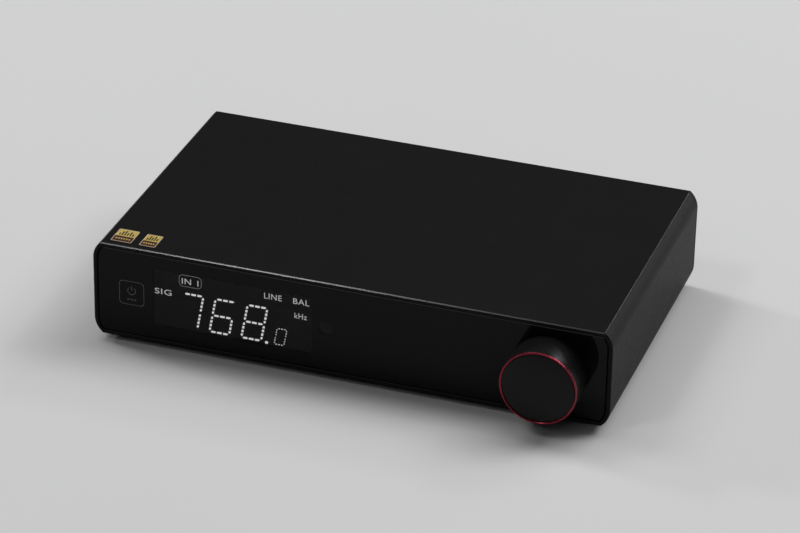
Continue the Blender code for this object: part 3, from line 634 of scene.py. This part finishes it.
def foot_profile(height):
    return [
        (0, height),
        (7.0, height),
        (7.2, height - 0.3),
        (6.9, 0.7),
        (6.75, 0.3),
        (6.4, 0.06),
        (6.2, 0.0),
        (4.4, 0.0),
        (4.2, 0.25),
        (2.2, 0.25),
        (2.0, 0.0),
        (0, 0.0),
    ]


def feet():
    for depth in ("front", "rear"):
        for side in ("left", "right"):
            node_name = f"foot_{depth}_{side}"
            low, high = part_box(node_name)
            centre = ((low.x + high.x) / 2, (low.y + high.y) / 2, low.z)
            made = lathe(f"rubber_{node_name}", foot_profile((high.z - low.z) / MM), centre, "UP", 72)
            place(made, "rubber", stands_for=[node_name])


LABEL_MARGIN = 0.4
LABEL_THICKNESS = 0.1
GOLD_SHARE = 0.52
BARS_SHARE = 0.82


def foil_label(size, bars):
    """A foil label: a gold upper field with black level bars, over a brown field with gold blocks."""
    node_name = f"foil_label_{size}"
    low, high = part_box(node_name)
    centre = ((low.x + high.x) / 2, (low.y + high.y) / 2, low.z)
    width, depth = (high.x - low.x) / MM, (high.y - low.y) / MM

    def layer(name, outline, bottom, top):
        return prism(name, [outline], centre, "UP", LABEL_THICKNESS + bottom, LABEL_THICKNESS + top)

    backing = rectangle(0, 0, width, depth, 0.7)
    base = layer(f"label_{size}_backing", backing, -LABEL_THICKNESS, 0)
    place(base, "pale_foil", stands_for=[node_name])
    field_w = width - 2 * LABEL_MARGIN
    gold_d = depth * GOLD_SHARE
    gold_y = depth / 2 - LABEL_MARGIN - gold_d / 2
    gold = layer(f"label_{size}_gold", rectangle(0, gold_y, field_w, gold_d, 0.5), 0, 0.025)
    place(gold, "gold_foil")
    dark_d = depth - 2 * LABEL_MARGIN - gold_d
    dark_y = -depth / 2 + LABEL_MARGIN + dark_d / 2
    dark = layer(f"label_{size}_dark", rectangle(0, dark_y, field_w, dark_d, LABEL_MARGIN), 0, 0.02)
    place(dark, "label_brown")
    marks, blocks = [], []
    pitch = field_w * BARS_SHARE / len(bars)
    for i, share in enumerate(bars):
        x = (i - (len(bars) - 1) / 2) * pitch
        tall = gold_d * 0.72 * share
        bar = rectangle(x, gold_y - gold_d * 0.36 + tall / 2, pitch * 0.55, tall)
        marks.append(layer(f"mark_{i}", bar, 0.025, 0.04))
        block = rectangle(x, dark_y, pitch * 0.55, dark_d * 0.24)
        blocks.append(layer(f"block_{i}", block, 0.02, 0.035))
    place(joined(f"label_{size}_bars", marks), "label_black")
    place(joined(f"label_{size}_blocks", blocks), "gold_foil")


# The knob

# How far before the front the bore for the hub ends, and the seats of the shell and the disc
KNOB_BORE_END, KNOB_SHELL_SEAT, KNOB_DISC_SEAT = 13.0, 14.5, 14.6
HUB_RADIUS = 7.1
KNOB_WALL, KNOB_LIP = 1.5, 1.1


def knob():
    low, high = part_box("knob_shell")
    centre = ((low.x + high.x) / 2, FRONT, (low.z + high.z) / 2)
    radius = (high.x - low.x) / 2 / MM
    reach = (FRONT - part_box("knob_ring")[0].y) / MM
    rear = (FRONT - high.y) / MM
    seat = reach - 0.9
    shell = [
        (radius - KNOB_LIP, seat),
        (radius - 0.06, seat),
        (radius, seat - 0.06),
        (radius, rear + 0.5),
        (radius - 0.15, rear + 0.15),
        (radius - 0.5, rear),
        (radius - KNOB_WALL, rear),
        (radius - KNOB_WALL, KNOB_BORE_END),
        (HUB_RADIUS, KNOB_BORE_END),
        (HUB_RADIUS, KNOB_SHELL_SEAT),
        (radius - KNOB_LIP, KNOB_SHELL_SEAT),
    ]
    ring = [
        (radius - 0.64, reach),
        (radius - 0.32, reach),
        (radius - 0.1, reach - 0.1),
        (radius, reach - 0.34),
        (radius, reach - 0.82),
        (radius - 0.9, reach - 0.82),
        (radius - 0.9, reach - 0.24),
    ]
    disc = radius - 1.2
    face = [
        (0, reach - 0.32),
        (disc - 0.3, reach - 0.32),
        (disc - 0.08, reach - 0.40),
        (disc, reach - 0.62),
        (disc, KNOB_DISC_SEAT),
        (0, KNOB_DISC_SEAT),
    ]
    for name, profile, finish, node_name, slot in (
        ("knob_barrel", shell, "knob_side", "knob_shell", "anodised_black"),
        ("knob_accent", ring, "red_ring", "knob_ring", "red_anodised"),
        ("knob_disc", face, "knob", "knob_face", "anodised_black"),
    ):
        place(lathe(name, profile, centre, "FRONT", 192), finish, "volume_knob", [node_name])


# The display. Places on the front are in millimetres from the middle of the casing.

SLANT = math.tan(math.radians(10.2))
FULL_DIGIT = {"height": 17.6, "width": 9.7, "stroke": 1.02, "joint": 0.68, "gap": 0.70, "across": 3, "up": 4}
SMALL_DIGIT = {"height": 8.45, "width": 4.75, "stroke": 0.5, "joint": 0.42, "gap": 0.55, "across": 3, "up": 3}
DIGIT_BASE = -13.75
DIGIT_PITCH = 15.75
LAST_FULL_DIGIT = -52.45
SMALL_DIGIT_CORNER = (-36.3, -14.05)
POINT_CENTRE, POINT_RADIUS = (-40.05, -14.1), 0.76
WORDS = (
    ("SIG", -91.05, 2.65, 2.9, 8.3),
    ("IN 1", -77.6, 10.25, 2.9, 8.2),
    ("LINE", -36.9, 10.4, 2.9, 8.6),
    ("BAL", -23.1, 10.4, 2.9, 7.9),
    ("kHz", -23.35, 2.9, 2.8, 6.0),
)
# How far before the display's face the lit marks begin and end, and how thick its words are. The key's
# print lies before the glass in the same way.
MARK_LOW, MARK_HIGH = 0.02, 0.06
WORD_THICKNESS = 0.04
PRINT_LOW, PRINT_HIGH = 0.004, 0.012
KEY_SIZE, KEY_LINE = 12.4, 0.26
SEGMENTS = {
    "a": ((0, 1), (1, 1)),
    "b": ((1, 0.5), (1, 1)),
    "c": ((1, 0), (1, 0.5)),
    "d": ((0, 0), (1, 0)),
    "e": ((0, 0), (0, 0.5)),
    "f": ((0, 0.5), (0, 1)),
    "g": ((0, 0.5), (1, 0.5)),
}
LIT = {"0": "abcdef", "6": "acdefg", "7": "abc", "8": "abcdefg"}


def cell(start, end, stroke, tips):
    """A lit bar between two points. A tip is the length over which that end narrows."""
    (x0, z0), (x1, z1) = start, end
    length = math.hypot(x1 - x0, z1 - z0)
    along = ((x1 - x0) / length, (z1 - z0) / length)
    side = (-along[1] * stroke / 2, along[0] * stroke / 2)

    def at(distance, offset):
        return (x0 + along[0] * distance + side[0] * offset, z0 + along[1] * distance + side[1] * offset)

    near, far = tips[0], length - tips[1]
    outline = [at(near, -1), at(far, -1)]
    outline += [at(length, -0.2), at(length, 0.2)] if tips[1] else []
    outline += [at(far, 1), at(near, 1)]
    outline += [at(0, 0.2), at(0, -0.2)] if tips[0] else []
    return [(x + SLANT * z, z) for x, z in outline]


def digit_cells(symbol, size):
    """The lit cells of a seven-segment digit about its lower left corner. Each segment is a row of cells."""
    cells = []
    for name in LIT[symbol]:
        (ax, az), (bx, bz) = SEGMENTS[name]
        x0, z0 = ax * size["width"], az * size["height"]
        x1, z1 = bx * size["width"], bz * size["height"]
        length = math.hypot(x1 - x0, z1 - z0)
        count = size["across"] if z0 == z1 else size["up"]
        pitch = (length - 2 * size["joint"] + size["gap"]) / count
        for i in range(count):
            low = (size["joint"] + i * pitch) / length
            high = (size["joint"] + (i + 1) * pitch - size["gap"]) / length
            start = (x0 + (x1 - x0) * low, z0 + (z1 - z0) * low)
            end = (x0 + (x1 - x0) * high, z0 + (z1 - z0) * high)
            tip = size["stroke"] * 0.45
            tips = (tip if i == 0 else 0, tip if i == count - 1 else 0)
            cells.append(cell(start, end, size["stroke"], tips))
    return cells


def lettering(name, text, centre_x, centre_z, height, width, face_y):
    """A word in the built-in typeface, set to a height and a width."""
    curve = bpy.data.curves.new(name, "FONT")
    curve.body = text
    curve.space_character = 1.08
    curve.extrude = 0.5
    obj = bpy.data.objects.new(name, curve)
    bpy.context.scene.collection.objects.link(obj)
    made = settled(obj)
    xs = [v.co.x for v in made.data.vertices]
    ys = [v.co.y for v in made.data.vertices]
    scale_x = width * MM / (max(xs) - min(xs))
    scale_y = height * MM / (max(ys) - min(ys))
    shift = Matrix.Translation((-(max(xs) + min(xs)) / 2, -(max(ys) + min(ys)) / 2, 0))
    size = Matrix.Diagonal((scale_x, scale_y, WORD_THICKNESS * MM, 1))
    target = facing("FRONT", (centre_x * MM, face_y, MIDDLE + centre_z * MM))
    made.data.transform(target @ size @ shift)
    return made


def display():
    face_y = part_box("display_module")[0].y
    centre = (0, face_y, MIDDLE)

    def lit(name, outlines):
        """Flat lit marks on the display's face, as one object."""
        marks = [prism(f"{name}_{i}", [outline], centre, "FRONT", MARK_LOW, MARK_HIGH)
                 for i, outline in enumerate(outlines)]
        return joined(name, marks)

    cells = []
    for place_in_row, symbol in enumerate("768"):
        left = LAST_FULL_DIGIT - (2 - place_in_row) * DIGIT_PITCH
        for outline in digit_cells(symbol, FULL_DIGIT):
            cells.append([(x + left, z + DIGIT_BASE) for x, z in outline])
    cells.append(circle(*POINT_CENTRE, POINT_RADIUS, 20))
    place(lit("display_digits", cells), "display_digits")
    left, base = SMALL_DIGIT_CORNER
    tenths = [[(x + left, z + base) for x, z in outline] for outline in digit_cells("0", SMALL_DIGIT)]
    place(lit("display_tenths", tenths), "display_words")
    word_y = face_y - WORD_THICKNESS * MM
    made = [lettering(f"word_{i}", *word, word_y) for i, word in enumerate(WORDS)]
    place(joined("display_words", made), "display_words")
    outer, inner = rectangle(-77.55, 10.5, 11.2, 6.2, 2.0), rectangle(-77.55, 10.5, 10.66, 5.66, 1.73)
    box = prism("display_input_frame", [outer, inner], centre, "FRONT", MARK_LOW, MARK_HIGH)
    place(box, "display_dim")


def touch_key():
    """The printed outline and power sign of the touch key, with three short bars below them."""
    face_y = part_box("front_panel")[0].y
    key = centre_of("touch_sensor")
    centre = (key.x, face_y, key.z)
    inside = KEY_SIZE - 2 * KEY_LINE
    key_frame = [rectangle(0, 0, KEY_SIZE, KEY_SIZE, 2.0), rectangle(0, 0, inside, inside, 1.85)]
    prints = [("key_frame", key_frame)]
    prints.append(("power_ring", [arc(0, 1.2, 2.1, 125, 415, 40) + arc(0, 1.2, 1.8, 415, 125, 40)]))
    prints.append(("power_bar", [rectangle(0, 2.6, 0.32, 2.2)]))
    prints += [(f"key_bar_{i}", [rectangle(-1.7 + 1.7 * i, -3.4, 1.1, 0.5)]) for i in range(3)]
    marks = [prism(name, outlines, centre, "FRONT", PRINT_LOW, PRINT_HIGH) for name, outlines in prints]
    place(joined("touch_key_print", marks), "print_grey")


def ir_window():
    low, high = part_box("panel_mask")
    centre = (centre_of("ir_receiver").x, high.y, MIDDLE)
    made = prism("ir_window", [circle(0, 0, IR_RADIUS, 48)], centre, "FRONT", 0.0, (high.y - low.y) / MM)
    # The window's finish is a faint painted glow, not a light of its own.
    place(made, "ir_window_painted_light")


# The rear panel and its sockets

def rear_panel():
    low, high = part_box("rear_panel")
    holes = []
    for name, radius in (
        ("balanced_left_socket", 11.9),
        ("balanced_right_socket", 11.9),
        ("phono_left_body", 5.9),
        ("phono_right_body", 5.9),
        ("phono_coax_body", 5.9),
        ("trigger_in_jack", 3.2),
        ("trigger_out_jack", 3.2),
        ("antenna_jack", 3.3),
    ):
        holes.append(circle(centre_of(name).x / MM, 0, radius, 72))
    holes.append(rectangle(centre_of("optical_socket").x / MM, 0, 10.3, 10.3, 0.3))
    holes.append(rectangle(centre_of("usb_socket").x / MM, 0, 12.6, 11.4, 0.8))
    holes.append(rectangle(centre_of("switch_frame").x / MM, 0, 13.2, 19.2, 0.4))
    holes.append(rectangle(centre_of("mains_inlet").x / MM, 0, 21.6, 14.6, 3.3))
    for i in range(1, 5):
        screw = centre_of(f"rear_screw_{i}")
        holes.append(circle(screw.x / MM, (screw.z - MIDDLE) / MM, 1.7, 32))
    thickness = (high.y - low.y) / MM
    outlines = [body_section(), *holes]
    made = prism("rear_plate", outlines, (0, low.y, MIDDLE), "REAR", 0, thickness, chamfer=0.2)
    place(made, "anodised", stands_for=["rear_panel"])


def rear_screws():
    for i in range(1, 5):
        node_name = f"rear_screw_{i}"
        place_at = centre_of(node_name)
        centre = (place_at.x, REAR, place_at.z)
        head = [
            (0, 1.7),
            (1.5, 1.7),
            (2.0, 1.58),
            (2.45, 1.2),
            (2.7, 0.6),
            (2.7, 0.15),
            (1.25, 0.15),
            (1.25, -8.6),
            (0.9, -9.0),
            (0, -9.0),
        ]
        screw = lathe(f"machine_screw_{i}", head, centre, "REAR", 48)
        slots = []
        for turn in (45, 135):
            cutter = prism(f"cross_{turn}", [rectangle(0, 0, 0.62, 3.0)], (0, 0, 0), "REAR", 0.55, 3.0)
            cutter.data.transform(Matrix.Translation(centre) @ Matrix.Rotation(math.radians(turn), 4, "Y"))
            slots.append(cutter)
        place(cut(screw, slots), "black_steel", stands_for=[node_name])


PIN_CIRCLE_RADIUS = 3.6


def balanced_sockets():
    for side in ("left", "right"):
        centre = (centre_of(f"balanced_{side}_socket").x, REAR, MIDDLE)
        cup = [
            (8.3, 0.85),
            (8.45, 1.0),
            (12.2, 1.0),
            (12.55, 0.85),
            (12.7, 0.55),
            (12.7, 0.15),
            (11.6, 0.15),
            (11.6, -15.5),
            (0, -15.5),
            (0, -12.6),
            (8.3, -12.6),
        ]
        shell = lathe(f"balanced_{side}_cup", cup, centre, "REAR", 96)
        keyway = prism("keyway", [rectangle(0, 8.2, 2.4, 1.6)], centre, "REAR", -11.0, 2.0)
        shell = cut(shell, [keyway])
        place(shell, "moulded", stands_for=[f"balanced_{side}_socket"])
        insert = lathe(
            f"balanced_{side}_insert",
            [(0, -11.5), (7.8, -11.5), (8.0, -11.7), (8.0, -12.5), (0, -12.5)],
            centre,
            "REAR",
            64,
        )
        place(insert, "moulded")
        pins = []
        tip = [(0, -1.6), (0.45, -1.66), (0.85, -1.9), (1.1, -2.3), (1.18, -2.8), (1.18, -11.45), (0, -11.45)]
        for i, degrees in enumerate((30, 150, 270)):
            spot = (
                centre[0] + PIN_CIRCLE_RADIUS * MM * math.cos(math.radians(degrees)),
                REAR,
                MIDDLE + PIN_CIRCLE_RADIUS * MM * math.sin(math.radians(degrees)),
            )
            pins.append(lathe(f"pin_{i}", tip, spot, "REAR", 32))
        prongs = joined(f"balanced_{side}_prongs", pins)
        place(prongs, "gold", stands_for=[f"balanced_{side}_pins"])


def phono_sockets():
    for name, colour in (("left", "white_plastic"), ("right", "red_plastic"), ("coax", "orange_plastic")):
        centre = (centre_of(f"phono_{name}_body").x, REAR, MIDDLE)
        reach = (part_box(f"phono_{name}_barrel")[1].y - REAR) / MM
        core = [
            (1.6, 7.8),
            (1.8, 8.0),
            (3.1, 8.0),
            (3.3, 7.8),
            (3.3, -6.2),
            (4.3, -6.2),
            (4.3, 0.9),
            (5.3, 0.9),
            (5.6, 0.75),
            (5.7, 0.45),
            (5.7, -12.0),
            (0, -12.0),
            (0, -3.0),
            (1.6, -3.0),
        ]
        barrel = [
            (3.45, reach - 0.25),
            (3.6, reach - 0.06),
            (3.8, reach),
            (4.0, reach - 0.08),
            (4.15, reach - 0.35),
            (4.15, 2.3),
            (4.0, 2.15),
            (4.0, 1.75),
            (4.15, 1.6),
            (4.15, -6.0),
            (3.45, -6.0),
        ]
        moulding = lathe(f"phono_{name}_moulding", core, centre, "REAR", 64)
        place(moulding, colour, stands_for=[f"phono_{name}_body"])
        sleeve_made = lathe(f"phono_{name}_sleeve", barrel, centre, "REAR", 64)
        place(sleeve_made, "gold", stands_for=[f"phono_{name}_barrel"])
        contact = [(1.3, 7.0), (1.55, 6.7), (1.55, -2.9), (1.25, -2.9), (1.25, 6.7)]
        place(lathe(f"phono_{name}_contact", contact, centre, "REAR", 40), "gold")


def usb_socket():
    low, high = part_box("usb_socket")
    centre = ((low.x + high.x) / 2, REAR, MIDDLE)
    opening = [(-4.25, -3.9), (4.25, -3.9), (4.25, 2.4), (2.75, 3.9), (-2.75, 3.9), (-4.25, 2.4)]
    outlines = [rectangle(0, 0, 12.0, 10.8, 0.9), opening]
    shell = prism("data_socket_shell", outlines, centre, "REAR", -15.0, 0.5, chamfer=0.12)
    place(shell, "nickel", stands_for=["usb_socket"])
    middle = rectangle(0, 0, 5.6, 3.2, 0.3)
    tongue = prism("data_socket_tongue", [middle], centre, "REAR", -13.0, -1.5, chamfer=0.2)
    base = prism("data_socket_base", [rectangle(0, -0.7, 8.0, 5.8, 0.3)], centre, "REAR", -14.8, -12.0)
    core = joined("data_socket_core", [tongue, base])
    place(core, "white_plastic", stands_for=["usb_tongue"])
    strips = []
    for side in (-1, 1):
        for up in (-1, 1):
            outline = [rectangle(side * 1.25, up * 1.64, 1.0, 0.1)]
            strips.append(prism(f"strip_{side}_{up}", outline, centre, "REAR", -11.5, -2.2))
    place(joined("data_socket_contacts", strips), "gold")


def optical_socket():
    low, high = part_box("optical_socket")
    centre = ((low.x + high.x) / 2, REAR, MIDDLE)
    shell = prism("optical_shell", [rectangle(0, 0, 9.9, 9.9, 0.5), rectangle(0, 0, 8.2, 8.2, 0.2)],
                  centre, "REAR", -10.5, 0.5, chamfer=0.15)
    back = prism("optical_back", [rectangle(0, 0, 9.9, 9.9, 0.5)], centre, "REAR", -14.0, -10.45)
    housing = joined("optical_housing", [shell, back])
    place(housing, "moulded", stands_for=["optical_socket"])
    flap_low, flap_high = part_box("optical_shutter")
    hinge_z = (flap_high.z - MIDDLE) / MM - 0.4
    foot_z = (flap_low.z - MIDDLE) / MM
    inside, outside = -1.4, -0.6
    outline = arc(-1.0, hinge_z, 0.4, 180, 0, 12) + [(outside, foot_z + 0.2), (outside - 0.2, foot_z)]
    outline += [(inside + 0.2, foot_z), (inside, foot_z + 0.2)]
    half_width = (flap_high.x - flap_low.x) / 2
    sides = (centre[0] - half_width, centre[0] + half_width)
    rings = [[(x, REAR + y * MM, MIDDLE + z * MM) for y, z in outline] for x in sides]
    flap = loft("optical_flap_plate", rings, closed=False)
    place(rounded(flap, 0.08), "moulded", "optical_flap", ["optical_shutter"])


def antenna_jack():
    centre = (centre_of("antenna_jack").x, REAR, MIDDLE)
    profile = [(0.7, 8.3), (0.9, 8.5), (2.7, 8.5), (2.95, 8.25)]
    pitch, top, turns = 0.7, 8.1, 7
    for i in range(turns):
        crest = top - i * pitch
        profile += [(3.1, crest - 0.1), (3.1, crest - 0.2), (2.78, crest - 0.42), (2.78, crest - 0.5)]
    profile += [(3.1, 2.9), (3.1, -2.15), (4.6, -2.15), (4.6, -4.0), (3.0, -4.0), (3.0, -11.0)]
    profile += [(0, -11.0), (0, 3.0), (0.7, 3.0)]
    thread = lathe("antenna_thread", profile, centre, "REAR", 64)
    place(thread, "gold", stands_for=["antenna_jack"])
    across_flats = 8.0
    outlines = [circle(0, 0, across_flats / math.sqrt(3), 6), circle(0, 0, 3.25, 48)]
    nut = prism("antenna_hex_nut", outlines, centre, "REAR", 0.1, 2.2, chamfer=0.15)
    place(nut, "gold", stands_for=["antenna_nut"])


def trigger_jacks():
    for name in ("in", "out"):
        centre = (centre_of(f"trigger_{name}_jack").x, REAR, MIDDLE)
        profile = [
            (1.8, 0.6),
            (2.0, 0.8),
            (2.75, 0.8),
            (2.95, 0.65),
            (3.0, 0.4),
            (3.0, -2.15),
            (4.2, -2.15),
            (4.2, -14.5),
            (0, -14.5),
            (0, -13.0),
            (1.8, -13.0),
        ]
        made = lathe(f"trigger_{name}_socket", profile, centre, "REAR", 56)
        place(made, "moulded", stands_for=[f"trigger_{name}_jack"])
        sleeve_profile = [(1.5, 0.2), (1.75, 0.4), (1.75, -4.0), (1.5, -4.0)]
        place(lathe(f"trigger_{name}_contact", sleeve_profile, centre, "REAR", 40), "nickel")


def mains_inlet():
    centre = (centre_of("mains_inlet").x, REAR, MIDDLE)
    spacing = 7.0
    face = [rectangle(0, 0, 25.0, 18.0, 4.5), figure_eight(spacing, 4.2)]
    bezel = prism("inlet_bezel", face, centre, "REAR", 0.1, 1.8, chamfer=0.3, rounds=2)
    body = rectangle(0, 0, 21.0, 14.0, 3.0)
    tube = prism("inlet_tube", [body, figure_eight(spacing, 4.25)], centre, "REAR", -12.0, 0.5)
    back = prism("inlet_back", [body], centre, "REAR", -14.0, -11.95)
    housing = joined("inlet_housing", [bezel, tube, back])
    place(housing, "moulded", stands_for=["mains_inlet"])
    pins = []
    tip = [(0, -2.0), (0.7, -2.1), (1.1, -2.5), (1.2, -3.0), (1.2, -11.5), (0, -11.5)]
    for side in (-1, 1):
        spot = (centre[0] + side * 4.3 * MM, REAR, MIDDLE)
        pins.append(lathe(f"inlet_pin_{side}", tip, spot, "REAR", 32))
    pins.append(prism("inlet_pin_plate", [figure_eight(spacing, 3.9)], centre, "REAR", -11.9, -11.2))
    place(joined("inlet_pins", pins), "nickel", stands_for=["mains_contacts"])


def mains_switch():
    centre = (centre_of("switch_frame").x, REAR, MIDDLE)
    face = [rectangle(0, 0, 15.0, 21.0, 1.2), rectangle(0, 0, 11.2, 16.8, 0.3)]
    bezel = prism("switch_bezel", face, centre, "REAR", 0.1, 1.8, chamfer=0.3, rounds=2)
    body = rectangle(0, 0, 12.8, 18.8)
    well = prism("switch_well", [body, rectangle(0, 0, 11.3, 16.9)], centre, "REAR", -10.0, 0.6)
    back = prism("switch_back", [body], centre, "REAR", -12.0, -9.95)
    frame_made = joined("switch_bezel_body", [bezel, well, back])
    place(frame_made, "moulded", stands_for=["switch_frame"])


def carry_over(finishes):
    """Gives a finer material to the CAD nodes whose own shape stays."""
    for node_name, finish in finishes.items():
        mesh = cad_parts[node_name].data
        mesh.materials.clear()
        mesh.materials.append(M[finish])
        for face in mesh.polygons:
            face.material_index = 0


# The studio

FLOOR_HALF_WIDTH = 6.0


def floor():
    shape = bmesh.new()
    bmesh.ops.create_grid(shape, x_segments=2, y_segments=2, size=FLOOR_HALF_WIDTH)
    made = object_of("floor", shape)
    for vertex in made.data.vertices:
        vertex.co.z = CAD_LOW.z
    finish = material("floor_paper", (0.62, 0.62, 0.625), 0.9)
    shader_of(finish).inputs["Specular IOR Level"].default_value = 0.1
    vary_colour(finish, 3.0, (0.615, 0.615, 0.62), (0.625, 0.625, 0.63))
    made.data.materials.append(finish)


# Soft boxes: name, place, what they face, width, height, watts
OVERHEAD = 4.5
SOFT_BOXES = (
    ("top_box", (-0.6, 0.99, OVERHEAD), (-0.6, 0.99, 0), 2.7, 1.8, 39.6),
    ("left_box", (-3.3, 0.99, OVERHEAD), (-3.3, 0.99, 0), 2.7, 1.5, 87.5),
    ("right_box", (2.1, 2.04, OVERHEAD), (2.1, 2.04, 0), 2.7, 2.7, 88.2),
    ("right_rear_box", (4.2, 3.09, OVERHEAD), (4.2, 3.09, 0), 2.7, 2.7, 170.0),
    ("rear_box", (2.7, 5.7, OVERHEAD), (2.7, 5.7, 0), 1.8, 1.5, 100.0),
    ("far_left_box", (-8.4, 2.04, OVERHEAD), (-8.4, 2.04, 0), 1.2, 1.2, 270.0),
    ("front_left_box", (-2.25, -2.58, OVERHEAD), (-2.25, -2.58, 0), 1.2, 1.2, 40.3),
    ("front_box", (-0.3, -5.7, OVERHEAD), (-0.3, -5.7, 0), 4.8, 1.8, 34.0),
    ("low_rear_card", (1.4, 2.4, 0.50), (0, 0, 0.05), 2.0, 0.8, 11.0),
)


def area_light(name, at, towards, width, height, watts):
    data = bpy.data.lights.new(name, "AREA")
    data.shape = "RECTANGLE"
    data.size, data.size_y = width, height
    data.energy = watts
    light = bpy.data.objects.new(name, data)
    bpy.context.scene.collection.objects.link(light)
    light.location = at
    light.rotation_mode = "QUATERNION"
    light.rotation_quaternion = (Vector(towards) - Vector(at)).to_track_quat("-Z", "Y")


def studio():
    floor()
    for box in SOFT_BOXES:
        area_light(*box)
    world = bpy.data.worlds.new("studio")
    bpy.context.scene.world = world
    world.use_nodes = True
    background = world.node_tree.nodes["Background"]
    background.inputs["Color"].default_value = (0.5, 0.5, 0.5, 1.0)
    background.inputs["Strength"].default_value = 0.05
    bpy.context.scene.view_settings.view_transform = "Standard"


def camera():
    data = bpy.data.cameras.new("camera")
    data.sensor_width = SENSOR
    data.lens = CAMERA_LENS
    data.clip_start, data.clip_end = 0.05, 50.0
    made = bpy.data.objects.new("camera", data)
    bpy.context.scene.collection.objects.link(made)
    turn = Matrix.Rotation(math.radians(CAMERA_AZIMUTH), 4, "Z")
    tilt = Matrix.Rotation(math.radians(90 - CAMERA_ELEVATION), 4, "X")
    roll = Matrix.Rotation(math.radians(CAMERA_ROLL), 4, "Z")
    lower_front = Vector((0, FRONT, SLEEVE_LOW.z))
    place_at = lower_front + Vector(CAMERA_FROM_FRONT) * MM
    made.matrix_world = Matrix.Translation(place_at) @ turn @ tilt @ roll
    bpy.context.scene.camera = made


def build():
    sleeve()
    glass()
    feet()
    foil_label("large", (0.45, 0.8, 1.0, 0.65, 0.9, 0.5))
    foil_label("small", (0.5, 0.9, 0.7, 1.0, 0.6))
    knob()
    display()
    touch_key()
    ir_window()
    rear_panel()
    rear_screws()
    balanced_sockets()
    phono_sockets()
    usb_socket()
    optical_socket()
    antenna_jack()
    trigger_jacks()
    mains_inlet()
    mains_switch()
    carry_over({
        "panel_mask": "mask",
        "front_frame": "mask",
        "knob_hub": "moulded",
        "encoder_shaft": "steel",
        "encoder_bushing": "nickel",
        "encoder_nut": "nickel",
        "encoder_housing": "steel",
        "encoder_rotor": "moulded",
        "press_switch": "moulded",
        "display_module": "display_backlight_and_painted_light",
        "display_board": "board",
        "touch_sensor": "gold",
        "ir_receiver": "epoxy",
        "display_ribbon": "ribbon",
        "main_board": "board",
        "psu_transformer": "yellow_tape",
        "bulk_capacitor": "epoxy",
        "dac_chip": "epoxy",
        "interface_chip": "epoxy",
        "wireless_module": "nickel",
        "output_relay": "moulded",
        "mains_lead": "lead_sleeve",
        "switch_rocker": "moulded",
    })


camera()
studio()
build()
